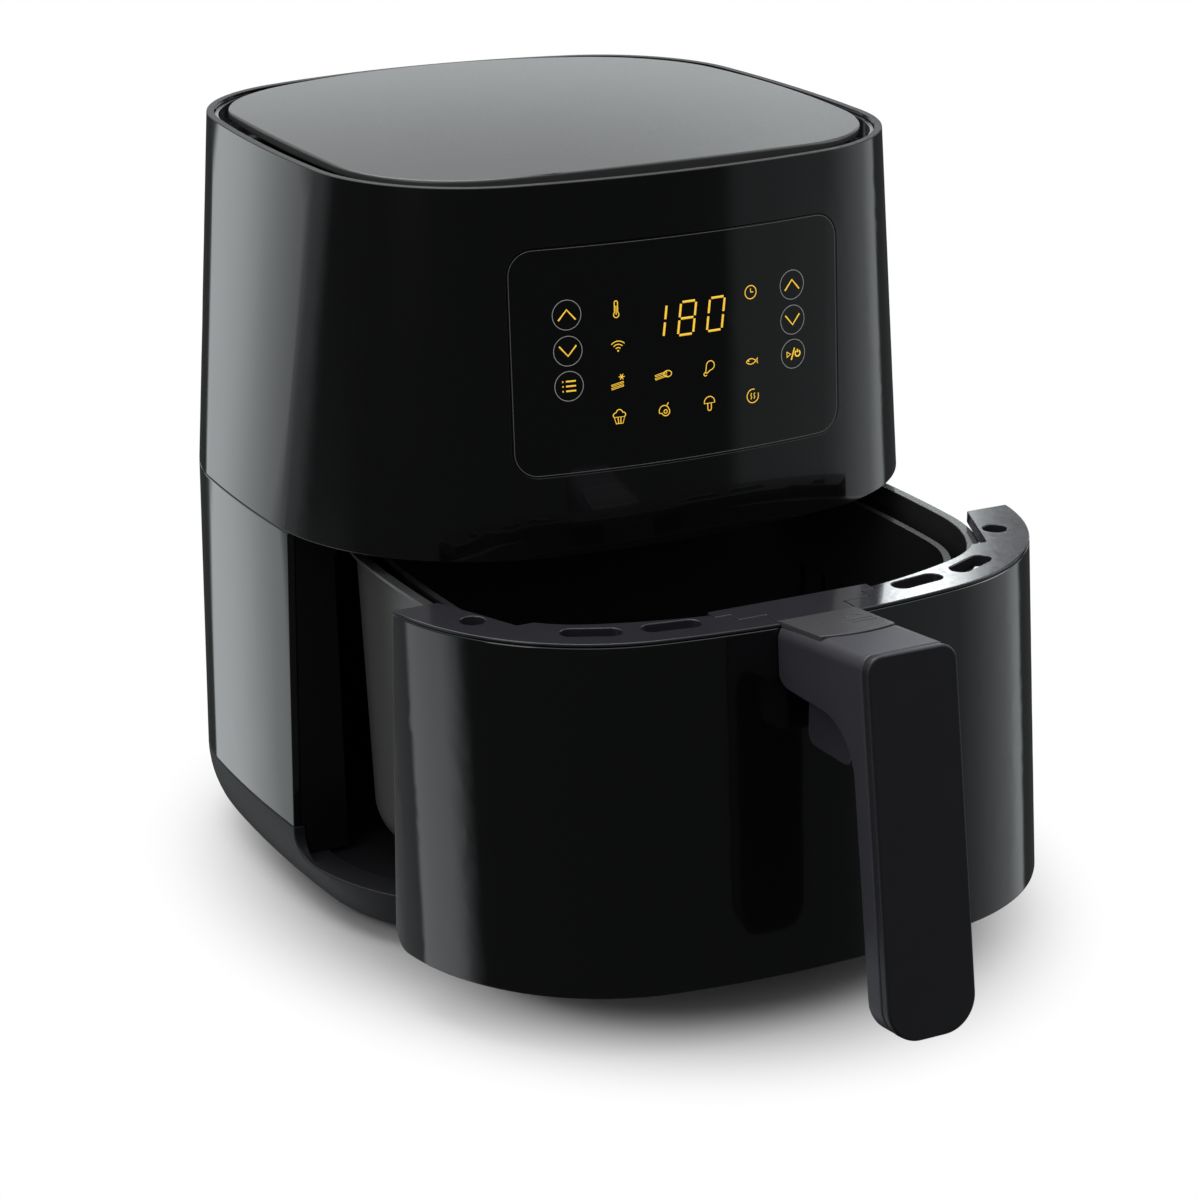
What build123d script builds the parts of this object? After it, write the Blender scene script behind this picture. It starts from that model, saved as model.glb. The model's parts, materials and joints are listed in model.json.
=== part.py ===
from build123d import *
import itertools
import math
import os
from collections import namedtuple

# Drawer air fryer: a housing with its hot-air unit, and a drawer with pan, basket and handle.
# Millimetres. +Z is up, the front faces -Y and the table is at Z = 0. The model is worked out with Y = 0
# at the widest plan section and the drawer shut. Saving pulls the drawer out and centres the whole box.

os.makedirs("parts", exist_ok=True)

# An outline is four shallow arcs joined by tangent corner arcs
Plan = namedtuple("Plan", "side front back side_r front_r back_r corner_r")

# Housing heights
FOOT_HEIGHT = 3.0
BASE_HEIGHT = 30.0
LOWER_HEIGHT = 120.0
UPPER_HEIGHT = 138.0
LOW_DROP, LEDGE_DROP = 13.0, 12.4
SEAM_GAP = 0.4

# Housing outline low down, and how it draws in up to the seam and then up to the rim
HALF_WIDTH, FRONT, BACK = 133.0, 125.1, 128.2
SIDE_R, FRONT_R, BACK_R, CORNER_R = 602.0, 364.0, 260.0, 84.0
SIDE_DRAFT, FRONT_DRAFT = 1.0, 12.8
RIM_SIDE_DRAFT, RIM_FRONT_DRAFT = 13.2, 9.9
RIM_FLATTER, RIM_TIGHTER = 30.0, 20.5
BASE_INSET = 13.0

# Walls and clearances
WALL = 3.0
FIT = 0.3
SEAT = 0.2
RUN = 0.05

# Base and well
SPLIT_Y = -35.0
SHOULDER_R = 9.5
LEDGE_WIDTH = 15.0
FLOOR_DROP = 2.0
UPSTAND = 4.0
UPSTAND_WALL = 2.0
UNDER_POCKET = 12.0
UNDER_RIM = 46.5
FOOT_INSET, FOOT_FRONT_INSET, FOOT_BACK_INSET = 47.0, 63.1, 50.2
FOOT_R, PEG_R, PEG_LENGTH = 9.0, 4.0, 5.0
WELL_SIDE_GAP, WELL_BACK_GAP, WELL_RUN_OUT = 13.0, 10.2, 24.9
WELL_BACK_TIGHTER, WELL_CORNER_TIGHTER = 10.0, 9.0
WELL_WALL = 2.0
RAIL_HEIGHT = 4.0
MOUTH_LOW, MOUTH_HIGH, MOUTH_SLOT = 4.4, 1.7, 1.0
GLIDE_INSET, GLIDE_WIDTH, GLIDE_START, GLIDE_LENGTH, GLIDE_ROUND = 50.2, 8.0, 5.0, 47.0, 2.0
GLIDE_PEG_R, GLIDE_PEG_LENGTH, GLIDE_PEG_END = 2.0, 2.4, 8.0
SCREW_R = 1.6
SCREW_HEAD_R, SCREW_HEAD = 3.2, 2.2
CASING_SCREW_INSET, CASING_SCREW_Y = 27.0, (-10.0, 40.0)
TAB_REACH, TAB_HALF, TAB_HEIGHT = 6.0, 7.0, 4.0

# Lid and inlet ring, measured from the rim
TROUGH_DEPTH = 12.0
TROUGH_PLATE = 2.0
TROUGH_WALL = 1.5
TROUGH_WIDTH = 30.0
RIM_LIP = 1.5
LID_GAP = 8.5
LID_SUNK, LID_RISE = 2.3, 5.2
LID_DOME_R = 1700.0
LID_SKIN = 2.5
LID_POST_R = 4.0
INLET_SLOT = 5.0
INLET_INSET = 5.5
INLET_SPANS = ((-75.0, -25.0), (20.0, 75.0))

# Control panel, with the heights behind it measured from its lower edge
PANEL_HALF, PANEL_SILL, PANEL_DROP = 69.3, 30.6, 23.0
PANEL_CORNER = 10.0
LENS = 2.0
WINDOW_LEDGE = 5.0
PANEL_GAP = 0.15
BOARD = 1.6
BOARD_DEPTH, BOARD_SIDE, BOARD_SILL, BOARD_DROP = 5.4, 12.3, 3.4, 5.0
GUIDE_RIM = 3.0
DISPLAY_HALF, DISPLAY_SILL, DISPLAY_HEIGHT, DISPLAY_DEPTH = 18.0, 43.4, 20.0, 4.0
ICON_SIDE, ICON_SILL, ICON_HEIGHT = 33.3, 14.4, 24.0
KEY_SIDE, KEY_SILLS, KEY_R = 21.8, (33.1, 46.1, 59.4), 4.2
POWER_INSET, POWER_HALF, POWER_HEIGHT = 25.0, 38.0, 60.0
POWER_PARTS = (
    (-30.0, 22.0, 12.0, 8.0),
    (-4.0, 18.0, 30.0, 6.0),
    (20.0, 12.0, 14.0, 9.0),
    (16.0, 18.0, 38.0, 5.0),
)
SWITCH_X, SWITCH_INSET = -74.0, 16.3
SWITCH_WIDTH, SWITCH_DEPTH, SWITCH_HEIGHT = 20.0, 6.5, 10.0

# Hot-air unit: heights over its deck or under its ceiling, and distances in from the chamber's wall
DECK_GAP, DECK = 0.6, 3.0
CHAMBER_INSET, CHAMBER_END, CHAMBER_HEIGHT = 37.0, 25.25, 49.4
SHEET = 0.8
CHAMBER_FLANGE = 9.0
DECK_LIP = 3.0
SHAFT_R = 3.0
FAN_GAP, FAN_DROP, FAN_BLADE = 10.0, 20.0, 11.0
FAN_BLADES, FAN_SHEET = 10, 1.0
HUB_R = 7.0
NUT_R, NUT = 6.0, 4.5
COIL_INSET, COIL_PITCH, COIL_DROP, COIL_R = 13.0, 20.0, 31.0, 3.3
COIL_BEND = 8.0
COIL_START, COIL_END = 100.0, 425.0
COIL_TAIL = 16.0
BUSH_R = 6.0
CLIP_ANGLES, CLIP_WIDTH, CLIP_REACH = (0.0, 180.0, 270.0), 6.0, 5.0
PROBE_R, PROBE_LENGTH, PROBE_DROP, PROBE_ANGLE = 2.0, 22.0, 16.0, 60.0
FUSE_SIDE, FUSE_FRONT, FUSE_R, FUSE_HEIGHT = 55.0, 35.0, 7.0, 6.0
GUARD_RISE, GUARD_WIRE = 5.9, 1.2
GUARD_INSETS, GUARD_BARS = (9.0, 37.0, 65.0), 6
SHIELD_RISE, SHIELD_INSET, SHIELD_LEG = 5.0, 27.0, 5.0
BRACKET_INSET, BRACKET_HALF, BRACKET_RISE, BRACKET, BRACKET_FOOT = 9.0, 22.0, 11.0, 2.0, 10.0
MOTOR_R, MOTOR_HEIGHT, MOTOR_CAP = 32.0, 32.0, 5.0
ROTOR_R = 20.0
BEARING_R = 6.0
COOL_REACH, COOL_HUB, COOL_GAP, COOL_BLADES, BLADE_PITCH = 10.0, 10.0, 4.0, 7, 35.0
DUCT_HALF, DUCT_SILL, DUCT_HEIGHT, DUCT_WALL = 30.0, 9.4, 30.0, 1.5
GRILLE_RIM, GRILLE_SLOTS = 6.0, 6
CORD_RISE, CORD_BORE, GLAND_R, GLAND_FLANGE = 15.0, 3.6, 7.0, 10.0

# Drawer
PULL_OUT = 93.0
FRONT_GAP = 0.6
RIM_DROP, FRONT_DROP, PAN_DROP, BASKET_DROP = 1.5, 1.4, 3.4, 5.2
FRONT_LIFT, PAN_LIFT, BASKET_LIFT = 1.0, 9.4, 16.0
FRONT_CORNER = 9.0
RAIL_GAP, RAIL_LAP, RAIL_CLEAR = 4.8, 3.0, 1.5
PAN_FRONT_GAP, PAN_BACK_GAP = 15.3, 13.0
PAN_FRONT_R, PAN_CORNER_R = 205.0, 70.0
PAN_WALL, PAN_DRAFT, PAN_FILLET = 1.2, 6.0, 14.0
PAN_FLANGE, PAN_LIP = 6.2, 1.6
BASKET_GAP, BASKET_SIDE_GAP, BASKET_CORNER_R = 9.0, 12.2, 48.0
BASKET_WALL, BASKET_DRAFT, BASKET_FILLET, BASKET_LIP = 1.2, 3.0, 12.0, 1.6
FOOT_PIN_R, FOOT_PIN_SIDE, FOOT_PIN_END = 6.0, 50.2, 47.0
HOLE_R, HOLE_PITCH, HOLE_MARGIN = 2.6, 11.0, 16.0
VENT_WIDTH, VENT_SILL, VENT_DROP, VENT_PITCH, VENT_COUNT = 4.0, 22.0, 35.5, 13.0, 4
SLOT_LENGTH, SLOT_WIDTH = 22.0, 8.0
SLOT_SPOTS = ((51.0, 16.5, 9.0), (79.0, 23.7, 25.0))
RIM_INNER_SIDE, RIM_INNER_FRONT, RIM_INNER_R, RIM_INNER_CORNER = 26.0, 16.8, 203.5, 46.5
RIM_HOLE_INSET, RIM_HOLE_FRONT, RIM_HOLE_R = 21.9, 53.9, 4.6
WING_INSET = 19.3
WING_KNEE, WING_TIP = (27.0, 58.7), (33.5, 42.3)
RIM_SCREW_R, RIM_SCREW_X = 1.3, (34.0, 65.0)
BRIDGE_DROP, BRIDGE_END = 3.7, 6.0

# Handle, measured out from the drawer's face and up or down from the rim
GRIP_HALF, ROOT_HALF = 18.0, 18.0
GRIP_TOP_OUT, GRIP_TOP_RISE = 59.0, 6.6
GRIP_FOOT_OUT, GRIP_FOOT_LIFT = 80.7, 0.9
GRIP_PLATE = 4.0
GRIP_DEPTH = 13.5
GRIP_TOP_R, GRIP_FOOT_R, GRIP_HEEL = 6.0, 13.0, 6.0
PLATE_EDGE = 1.0
ROOT_IN, ROOT_RISE, ROOT_DROP = 0.3, 0.7, 22.0
ROOT_CORNER = 9.0
ELBOW_R = 22.0
TONGUE_HALF, TONGUE_OUT, TONGUE_LENGTH, TONGUE_DROP, TONGUE_R = 11.0, 10.7, 29.0, 42.0, 5.0
CAVITY_HALF, CAVITY_DROP, CAVITY_OUT = 15.2, 17.5, 34.7
NOTCH_HALF, NOTCH_DROP = 16.0, 15.5
PAD_OUT, PAD_SCREW = 21.7, 9.0

# Release button and latch, measured in the same way
BUTTON_IN, BUTTON_OUT, BUTTON_THICK = 2.3, 24.7, 2.4
BUTTON_HALF_REAR, BUTTON_HALF_FRONT, BUTTON_BOW = 15.8, 15.2, 3.0
BUTTON_TRAVEL, BUTTON_NOSE_GAP = 2.6, 1.2
PIN_R, PIN_REACH = 1.5, 16.8
BUTTON_PIN_OUT, BUTTON_PIN_DROP = 3.7, 6.3
LUG_R, LUG_X, LUG_WIDTH = 2.8, 5.4, 2.5
LATCH_PIN_OUT, LATCH_PIN_DROP = 8.2, 12.7
LATCH_HALF, LATCH_HUB, LATCH_BAR, LATCH_NOSE = 3.5, 3.2, 2.6, 1.8
LATCH_PAD_OUT = 15.7
SPRING_X, SPRING_HALF, SPRING_SHEET = 6.5, 2.0, 0.5
SPRING_OUT, SPRING_LENGTH = 13.7, 10.0

# Bracket
ARM_INNER, ARM_OUTER, ARM_LIFT, ARM_SHEET = 9.5, 14.8, 0.3, 1.6
ARM_OUT, ARM_SCREW_OUT = 32.7, 30.2
ARM_HEAD, ARM_HEAD_R = 1.2, 2.6
STRAP_LENGTH = 35.0
COVER_HALF, COVER_STEP, COVER_IN = 33.0, 6.0, 22.8
RIVET_R, RIVET_X, RIVET_DROP, RIVET_HEAD = 2.2, 9.0, 25.0, 1.5

# Derived heights and outlines
BASE_TOP = FOOT_HEIGHT + BASE_HEIGHT
LOW_Z, LEDGE_Z = BASE_TOP - LOW_DROP, BASE_TOP - LEDGE_DROP
FLOOR_Z = LEDGE_Z - FLOOR_DROP
SEAM_Z = BASE_TOP + LOWER_HEIGHT
RIM_Z = SEAM_Z + UPPER_HEIGHT
SPLIT_TOP, UPPER_BOTTOM = SEAM_Z - SEAM_GAP / 2, SEAM_Z + SEAM_GAP / 2
SEAM_SIDE, SEAM_FRONT = HALF_WIDTH - SIDE_DRAFT, FRONT - FRONT_DRAFT
RIM_SIDE, RIM_FRONT = SEAM_SIDE - RIM_SIDE_DRAFT, SEAM_FRONT - RIM_FRONT_DRAFT
LOW_PLAN = Plan(HALF_WIDTH, FRONT, BACK, SIDE_R, FRONT_R, BACK_R, CORNER_R)
SEAM_PLAN = LOW_PLAN._replace(side=SEAM_SIDE, front=SEAM_FRONT)
RIM_PLAN = Plan(RIM_SIDE, RIM_FRONT, BACK, SIDE_R, FRONT_R + RIM_FLATTER, BACK_R, CORNER_R - RIM_TIGHTER)

# Derived places in the base and the lid
FOOT_X, FOOT_FRONT, FOOT_BACK = HALF_WIDTH - FOOT_INSET, FOOT_FRONT_INSET - FRONT, BACK - FOOT_BACK_INSET
CASING_SCREW_X = HALF_WIDTH - CASING_SCREW_INSET
TAB_INNER = CASING_SCREW_X - TAB_REACH
TROUGH_FLOOR = RIM_Z - TROUGH_DEPTH
LID_BOTTOM, LID_CROWN = RIM_Z - LID_SUNK, RIM_Z + LID_RISE
WELL_SIDE, WELL_BACK = HALF_WIDTH - WELL_SIDE_GAP, BACK - WELL_BACK_GAP
WELL_BACK_R, WELL_CORNER_R = BACK_R - WELL_BACK_TIGHTER, CORNER_R - WELL_CORNER_TIGHTER
WELL_PLAN = Plan(WELL_SIDE, FRONT + WELL_RUN_OUT, WELL_BACK, SIDE_R, FRONT_R, WELL_BACK_R, WELL_CORNER_R)

# Derived places behind the panel
PANEL_BOTTOM, PANEL_TOP = SEAM_Z + PANEL_SILL, RIM_Z - PANEL_DROP
BOARD_Y, BOARD_HALF = BOARD_DEPTH - RIM_FRONT, PANEL_HALF - BOARD_SIDE
BOARD_BOTTOM, BOARD_TOP = PANEL_BOTTOM + BOARD_SILL, PANEL_TOP - BOARD_DROP
DISPLAY_BOTTOM = PANEL_BOTTOM + DISPLAY_SILL
DISPLAY_TOP = DISPLAY_BOTTOM + DISPLAY_HEIGHT
ICON_HALF, ICON_BOTTOM = PANEL_HALF - ICON_SIDE, PANEL_BOTTOM + ICON_SILL
ICON_TOP = ICON_BOTTOM + ICON_HEIGHT
KEY_X, KEY_Z = PANEL_HALF - KEY_SIDE, [PANEL_BOTTOM + sill for sill in KEY_SILLS]
POWER_X, SWITCH_Y = SEAM_SIDE - POWER_INSET, SWITCH_INSET - SEAM_FRONT

# Derived places in the hot-air unit, which stands midway between front and back
FAN_Y = (BACK - SEAM_FRONT) / 2
FAN_AXIS = Axis((0, FAN_Y, 0), (0, 0, 1))
DECK_BOTTOM = SEAM_Z + DECK_GAP
DECK_TOP = DECK_BOTTOM + DECK
CHAMBER_R = min(SEAM_SIDE - CHAMBER_INSET, (SEAM_FRONT + BACK) / 2 - CHAMBER_END)
CHAMBER_TOP = DECK_TOP + CHAMBER_HEIGHT
DECK_HOLE = CHAMBER_R - DECK_LIP
COIL_OUTER = CHAMBER_R - COIL_INSET
COIL_INNER = COIL_OUTER - COIL_PITCH
COIL_Z, COIL_TAIL_TOP = CHAMBER_TOP - COIL_DROP, CHAMBER_TOP + COIL_TAIL
FAN_R, FAN_Z = COIL_INNER - FAN_GAP, CHAMBER_TOP - FAN_DROP
PROBE_Z, GUARD_Z = CHAMBER_TOP - PROBE_DROP, DECK_TOP + GUARD_RISE
GUARD_RINGS = [CHAMBER_R - inset for inset in GUARD_INSETS]
FUSE_X, FUSE_Y = FUSE_SIDE - CHAMBER_R, FAN_Y + FUSE_FRONT - CHAMBER_R
SHIELD_Z, SHIELD_R = CHAMBER_TOP + SHIELD_RISE, CHAMBER_R - SHIELD_INSET
BRACKET_X, BRACKET_Z = CHAMBER_R - BRACKET_INSET, CHAMBER_TOP + BRACKET_RISE
MOTOR_Z = BRACKET_Z + BRACKET
MOTOR_TOP = MOTOR_Z + MOTOR_HEIGHT
COOL_Z, COOL_R = MOTOR_TOP + COOL_GAP, MOTOR_R + COOL_REACH
DUCT_BOTTOM = DECK_TOP + DUCT_SILL
DUCT_TOP = DUCT_BOTTOM + DUCT_HEIGHT
GRILLE_HALF = DUCT_HALF + GRILLE_RIM
GRILLE_BOTTOM, GRILLE_TOP = DUCT_BOTTOM - GRILLE_RIM, DUCT_TOP + GRILLE_RIM
CORD_Z = BASE_TOP + CORD_RISE

# Derived places in the drawer
DRAWER_BACK = SPLIT_Y - FRONT_GAP
RIM_TOP = SEAM_Z - RIM_DROP
FRONT_TOP = RIM_TOP - FRONT_DROP
PAN_TOP = FRONT_TOP - PAN_DROP
BASKET_TOP = PAN_TOP - BASKET_DROP
FRONT_BOTTOM, PAN_FLOOR = LEDGE_Z + FRONT_LIFT, FLOOR_Z + PAN_LIFT
BASKET_FLOOR = PAN_FLOOR + BASKET_LIFT
RAIL_TOP, RAIL_WIDTH = PAN_TOP - PAN_LIP - SEAT, RAIL_GAP + RAIL_LAP - RAIL_CLEAR
PAN_SIDE, PAN_FRONT = WELL_SIDE - WELL_WALL - RAIL_GAP - RAIL_LAP, SEAM_FRONT - PAN_FRONT_GAP
GLIDE_X, GLIDE_FRONT = PAN_SIDE - GLIDE_INSET, SPLIT_Y + GLIDE_START
GLIDE_BACK = GLIDE_FRONT + GLIDE_LENGTH
GLIDE_PEG_YS = (GLIDE_FRONT + GLIDE_PEG_END, GLIDE_BACK - GLIDE_PEG_END)
PAN_BACK = WELL_BACK - WELL_WALL - PAN_BACK_GAP
PAN_PLAN = Plan(PAN_SIDE, PAN_FRONT, PAN_BACK, SIDE_R, PAN_FRONT_R, WELL_BACK_R, PAN_CORNER_R)
RIM_INNER = Plan(
    SEAM_SIDE - RIM_INNER_SIDE, SEAM_FRONT - RIM_INNER_FRONT, PAN_BACK,
    SIDE_R, RIM_INNER_R, WELL_BACK_R, RIM_INNER_CORNER,
)
FOOT_PIN_X, FOOT_PIN_Y = PAN_SIDE - FOOT_PIN_SIDE, PAN_FRONT - FOOT_PIN_END
HOLE_AREA = PAN_FRONT - BASKET_GAP - HOLE_MARGIN
VENT_BOTTOM, VENT_TOP = BASKET_FLOOR + VENT_SILL, BASKET_TOP - VENT_DROP
RIM_HOLE_X, RIM_HOLE_Y = SEAM_SIDE - RIM_HOLE_INSET, RIM_HOLE_FRONT - SEAM_FRONT
WING_INNER = SEAM_SIDE - WING_INSET
BRIDGE_Z = PAN_TOP - BRIDGE_DROP

# Derived places in the handle
GRIP_TOP_Y, GRIP_TOP_Z = -SEAM_FRONT - GRIP_TOP_OUT, RIM_TOP + GRIP_TOP_RISE
GRIP_FOOT_Y, GRIP_FOOT_Z = -SEAM_FRONT - GRIP_FOOT_OUT, FRONT_BOTTOM + GRIP_FOOT_LIFT
GRIP_LENGTH = math.hypot(GRIP_TOP_Y - GRIP_FOOT_Y, GRIP_TOP_Z - GRIP_FOOT_Z)
ROOT_Y, ROOT_TOP, ROOT_BOTTOM = ROOT_IN - SEAM_FRONT, RIM_TOP + ROOT_RISE, RIM_TOP - ROOT_DROP
TONGUE_BACK, TONGUE_BOTTOM = -SEAM_FRONT - TONGUE_OUT, RIM_TOP - TONGUE_DROP
TONGUE_FRONT = TONGUE_BACK - TONGUE_LENGTH
CAVITY_FRONT, CAVITY_FLOOR = -SEAM_FRONT - CAVITY_OUT, RIM_TOP - CAVITY_DROP
NOTCH_FLOOR = RIM_TOP - NOTCH_DROP
PAD_REAR = -SEAM_FRONT - PAD_OUT
BUTTON_REAR, BUTTON_FRONT = BUTTON_IN - SEAM_FRONT, -SEAM_FRONT - BUTTON_OUT
BUTTON_PIN_Y, BUTTON_PIN_Z = -SEAM_FRONT - BUTTON_PIN_OUT, RIM_TOP - BUTTON_PIN_DROP
LATCH_PIN_Y, LATCH_PIN_Z = -SEAM_FRONT - LATCH_PIN_OUT, RIM_TOP - LATCH_PIN_DROP
LATCH_PAD_Y = -SEAM_FRONT - LATCH_PAD_OUT
SPRING_REAR = -SEAM_FRONT - SPRING_OUT
SPRING_FRONT = SPRING_REAR - SPRING_LENGTH
ARM_Z, ARM_FRONT, STRAP_SCREW_Y = PAN_TOP + ARM_LIFT, -SEAM_FRONT - ARM_OUT, -SEAM_FRONT - ARM_SCREW_OUT
STRAP_BOTTOM, RIVET_Z = ARM_Z - STRAP_LENGTH, ARM_Z - RIVET_DROP
COVER_REAR = COVER_IN - SEAM_FRONT
FAR = 400.0
Y_SHIFT = (PULL_OUT - GRIP_FOOT_Y - SEAM_PLAN.back) / 2


def shrink(plan, inset):
    """The parallel outline that lies inset further in."""
    return Plan(*(value - inset for value in plan))


def plan_at(z):
    """The housing's outline at a height."""
    low, high, z0, z1 = LOW_PLAN, SEAM_PLAN, LOW_Z, SEAM_Z
    if z > SEAM_Z:
        low, high, z0, z1 = SEAM_PLAN, RIM_PLAN, SEAM_Z, RIM_Z
    share = (z - z0) / (z1 - z0)
    return Plan(*(a + (b - a) * share for a, b in zip(low, high)))


def corner(plan, end_centre, end_r, turn):
    """Side point, middle and end point of the arc that joins the side arc to an end arc."""
    side_centre = Vector(plan.side - plan.side_r, 0)
    gap = end_centre - side_centre
    side_reach = plan.side_r - plan.corner_r
    end_reach = end_r - plan.corner_r
    along = (side_reach**2 - end_reach**2 + gap.length**2) / (2 * gap.length)
    across = math.sqrt(side_reach**2 - along**2) * turn
    unit = gap.normalized()
    centre = side_centre + unit * along + Vector(unit.Y, -unit.X) * across
    side_way = (centre - side_centre).normalized()
    end_way = (centre - end_centre).normalized()
    middle_way = (side_way + end_way).normalized()
    return [centre + way * plan.corner_r for way in (side_way, middle_way, end_way)]


def ring(plan, z):
    """The closed outline as a wire of eight arcs."""
    side_f, mid_f, end_f = corner(plan, Vector(0, plan.front_r - plan.front), plan.front_r, 1)
    side_b, mid_b, end_b = corner(plan, Vector(0, plan.back - plan.back_r), plan.back_r, -1)
    right = [(end_b, mid_b, side_b), (side_b, Vector(plan.side, 0), side_f), (side_f, mid_f, end_f)]
    left = [[Vector(-p.X, p.Y) for p in reversed(arc)] for arc in reversed(right)]
    front = (end_f, Vector(0, -plan.front), left[0][0])
    back = (left[-1][-1], Vector(0, plan.back), end_b)
    lift = Vector(0, 0, z)
    return Wire([Edge.make_three_point_arc(*(p + lift for p in arc)) for arc in (*right, front, *left, back)])


def slab(plan, z0, z1):
    """A straight prism on an outline."""
    return Solid.extrude(Face(ring(plan, z0)), Vector(0, 0, z1 - z0))


def taper(low, z0, high, z1):
    """A solid that runs straight from one outline to another."""
    return Solid.make_loft([ring(low, z0), ring(high, z1)], True)


def upper(inset):
    return taper(shrink(SEAM_PLAN, inset), SEAM_Z, shrink(RIM_PLAN, inset), RIM_Z)


def lower(inset):
    return taper(shrink(LOW_PLAN, inset), LOW_Z, shrink(SEAM_PLAN, inset), SEAM_Z)


def block(x0, x1, y0, y1, z0, z1):
    return Solid.make_box(x1 - x0, y1 - y0, z1 - z0).moved(Location((x0, y0, z0)))


def between(y0, y1, z0, z1):
    """Everything in a range of Y and Z."""
    return block(-FAR, FAR, y0, y1, z0, z1)


def post(x, y, z0, z1, r):
    return Solid.make_cylinder(r, z1 - z0).moved(Location((x, y, z0)))


def rod_x(x0, x1, y, z, r):
    return Solid.make_cylinder(r, x1 - x0, Plane((x0, y, z), z_dir=(1, 0, 0)))


def rod_y(x, y0, y1, z, r):
    return Solid.make_cylinder(r, y1 - y0, Plane((x, y0, z), z_dir=(0, 1, 0)))


def disc(z0, z1, r):
    """A disc on the fan's axis."""
    return post(0, FAN_Y, z0, z1, r)


def bend(points, half):
    """A side view in Y and Z, extruded both ways along X."""
    face = Face(Wire.make_polygon([Vector(-half, y, z) for y, z in points]))
    return Solid.extrude(face, Vector(2 * half, 0, 0))


def window(half, z0, z1, corner_r, y0, y1):
    """A rounded upright rectangle, extruded along Y."""
    plane = Plane((0, y1, (z0 + z1) / 2), x_dir=(1, 0, 0), z_dir=(0, -1, 0))
    return extrude(plane * RectangleRounded(2 * half, z1 - z0, corner_r), y1 - y0)


def around(copies, shape):
    """Copies of a shape, turned evenly about the fan's axis."""
    return [shape.rotate(FAN_AXIS, 360 * i / copies) for i in range(copies)]


def mirrored(shape):
    return [shape, shape.mirror(Plane.YZ)]


def save(name, shape, drawer=False):
    """Writes one node, moved to its place in the stored frame."""
    solids = shape.solids() if not isinstance(shape, list) else [s for one in shape for s in one.solids()]
    move = Location((0, Y_SHIFT - (PULL_OUT if drawer else 0), 0))
    export_step(Compound([s.moved(move) for s in solids]), f"parts/{name}.step")


# Base and feet
def flank_inset(z):
    """How far the base has curved in at a height."""
    rise = BASE_TOP - FOOT_HEIGHT
    radius = (rise**2 + BASE_INSET**2) / (2 * BASE_INSET)
    return radius - math.sqrt(radius**2 - (BASE_TOP - z) ** 2)


FOOT_SPOTS = [(x, y) for x in (-FOOT_X, FOOT_X) for y in (FOOT_FRONT, FOOT_BACK)]


def front_y(plan, x):
    """Y of an outline on its front arc."""
    return plan.front_r - plan.front - math.sqrt(plan.front_r**2 - x**2)


CASING_SCREWS = [(turn * CASING_SCREW_X, y) for turn in (-1, 1) for y in CASING_SCREW_Y]


def front_cut(y_edge, z_edge, radius):
    """What lies in front of y_edge and above z_edge, with the corner between them rounded."""
    cut = between(-FAR, y_edge, z_edge, FAR)
    bottom = cut.edges().filter_by(Axis.X).group_by(Axis.Z)[0]
    return cut.fillet(radius, [bottom.sort_by(Axis.Y)[-1]])


def base():
    steps = [FOOT_HEIGHT + (BASE_TOP - FOOT_HEIGHT) * i / 4 for i in range(5)]
    shape = Solid.make_loft([ring(shrink(plan_at(z), flank_inset(z)), z) for z in steps])
    inner = WALL + SEAT + UPSTAND_WALL
    stand = slab(shrink(plan_at(BASE_TOP), WALL + SEAT), LEDGE_Z, BASE_TOP + UPSTAND)
    shape = shape + (stand & between(SPLIT_Y + WALL + SEAT, FAR, LEDGE_Z, FAR))
    shape = shape - slab(shrink(plan_at(BASE_TOP), inner), LEDGE_Z, FAR)
    shape = shape - slab(shrink(plan_at(BASE_TOP), LEDGE_WIDTH), FLOOR_Z, FAR)
    shape = shape - front_cut(SPLIT_Y, LEDGE_Z, SHOULDER_R)
    shape = shape - slab(shrink(plan_at(BASE_TOP), BASE_INSET + UNDER_RIM), 0, FOOT_HEIGHT + UNDER_POCKET)
    for x, y in FOOT_SPOTS:
        shape = shape - post(x, y, 0, FOOT_HEIGHT + PEG_LENGTH + SEAT, PEG_R)
    for x, y in CASING_SCREWS:
        shape = shape - post(x, y, 0, FAR, SCREW_R + RUN)
        shape = shape - post(x, y, 0, FLOOR_Z - UPSTAND, SCREW_HEAD_R + SEAT)
    for x, y in itertools.product((-GLIDE_X, GLIDE_X), GLIDE_PEG_YS):
        shape = shape - post(x, y, FLOOR_Z - GLIDE_PEG_LENGTH, FAR, GLIDE_PEG_R + RUN)
    return shape


def rubber_feet():
    peg_top = FOOT_HEIGHT + PEG_LENGTH
    return [
        post(x, y, 0, FOOT_HEIGHT, FOOT_R) + post(x, y, FOOT_HEIGHT, peg_top, PEG_R - RUN)
        for x, y in FOOT_SPOTS
    ]


def glide_strips():
    """The two pegged strips that the pan's floor slides on when the drawer is far out."""
    low, high = FLOOR_Z + SEAT, PAN_FLOOR - SEAT
    strip = block(GLIDE_X - GLIDE_WIDTH / 2, GLIDE_X + GLIDE_WIDTH / 2, GLIDE_FRONT, GLIDE_BACK, low, high)
    strip = fillet(strip.edges().group_by(Axis.Z)[-1], GLIDE_ROUND)
    for y in GLIDE_PEG_YS:
        strip = strip + post(GLIDE_X, y, FLOOR_Z - GLIDE_PEG_LENGTH + SEAT, low, GLIDE_PEG_R)
    return mirrored(strip)


def casing_screws():
    head = FLOOR_Z - UPSTAND
    return [
        post(x, y, head - SCREW_HEAD, head, SCREW_HEAD_R) + post(x, y, head, FLOOR_Z + TAB_HEIGHT, SCREW_R)
        for x, y in CASING_SCREWS
    ]


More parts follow.
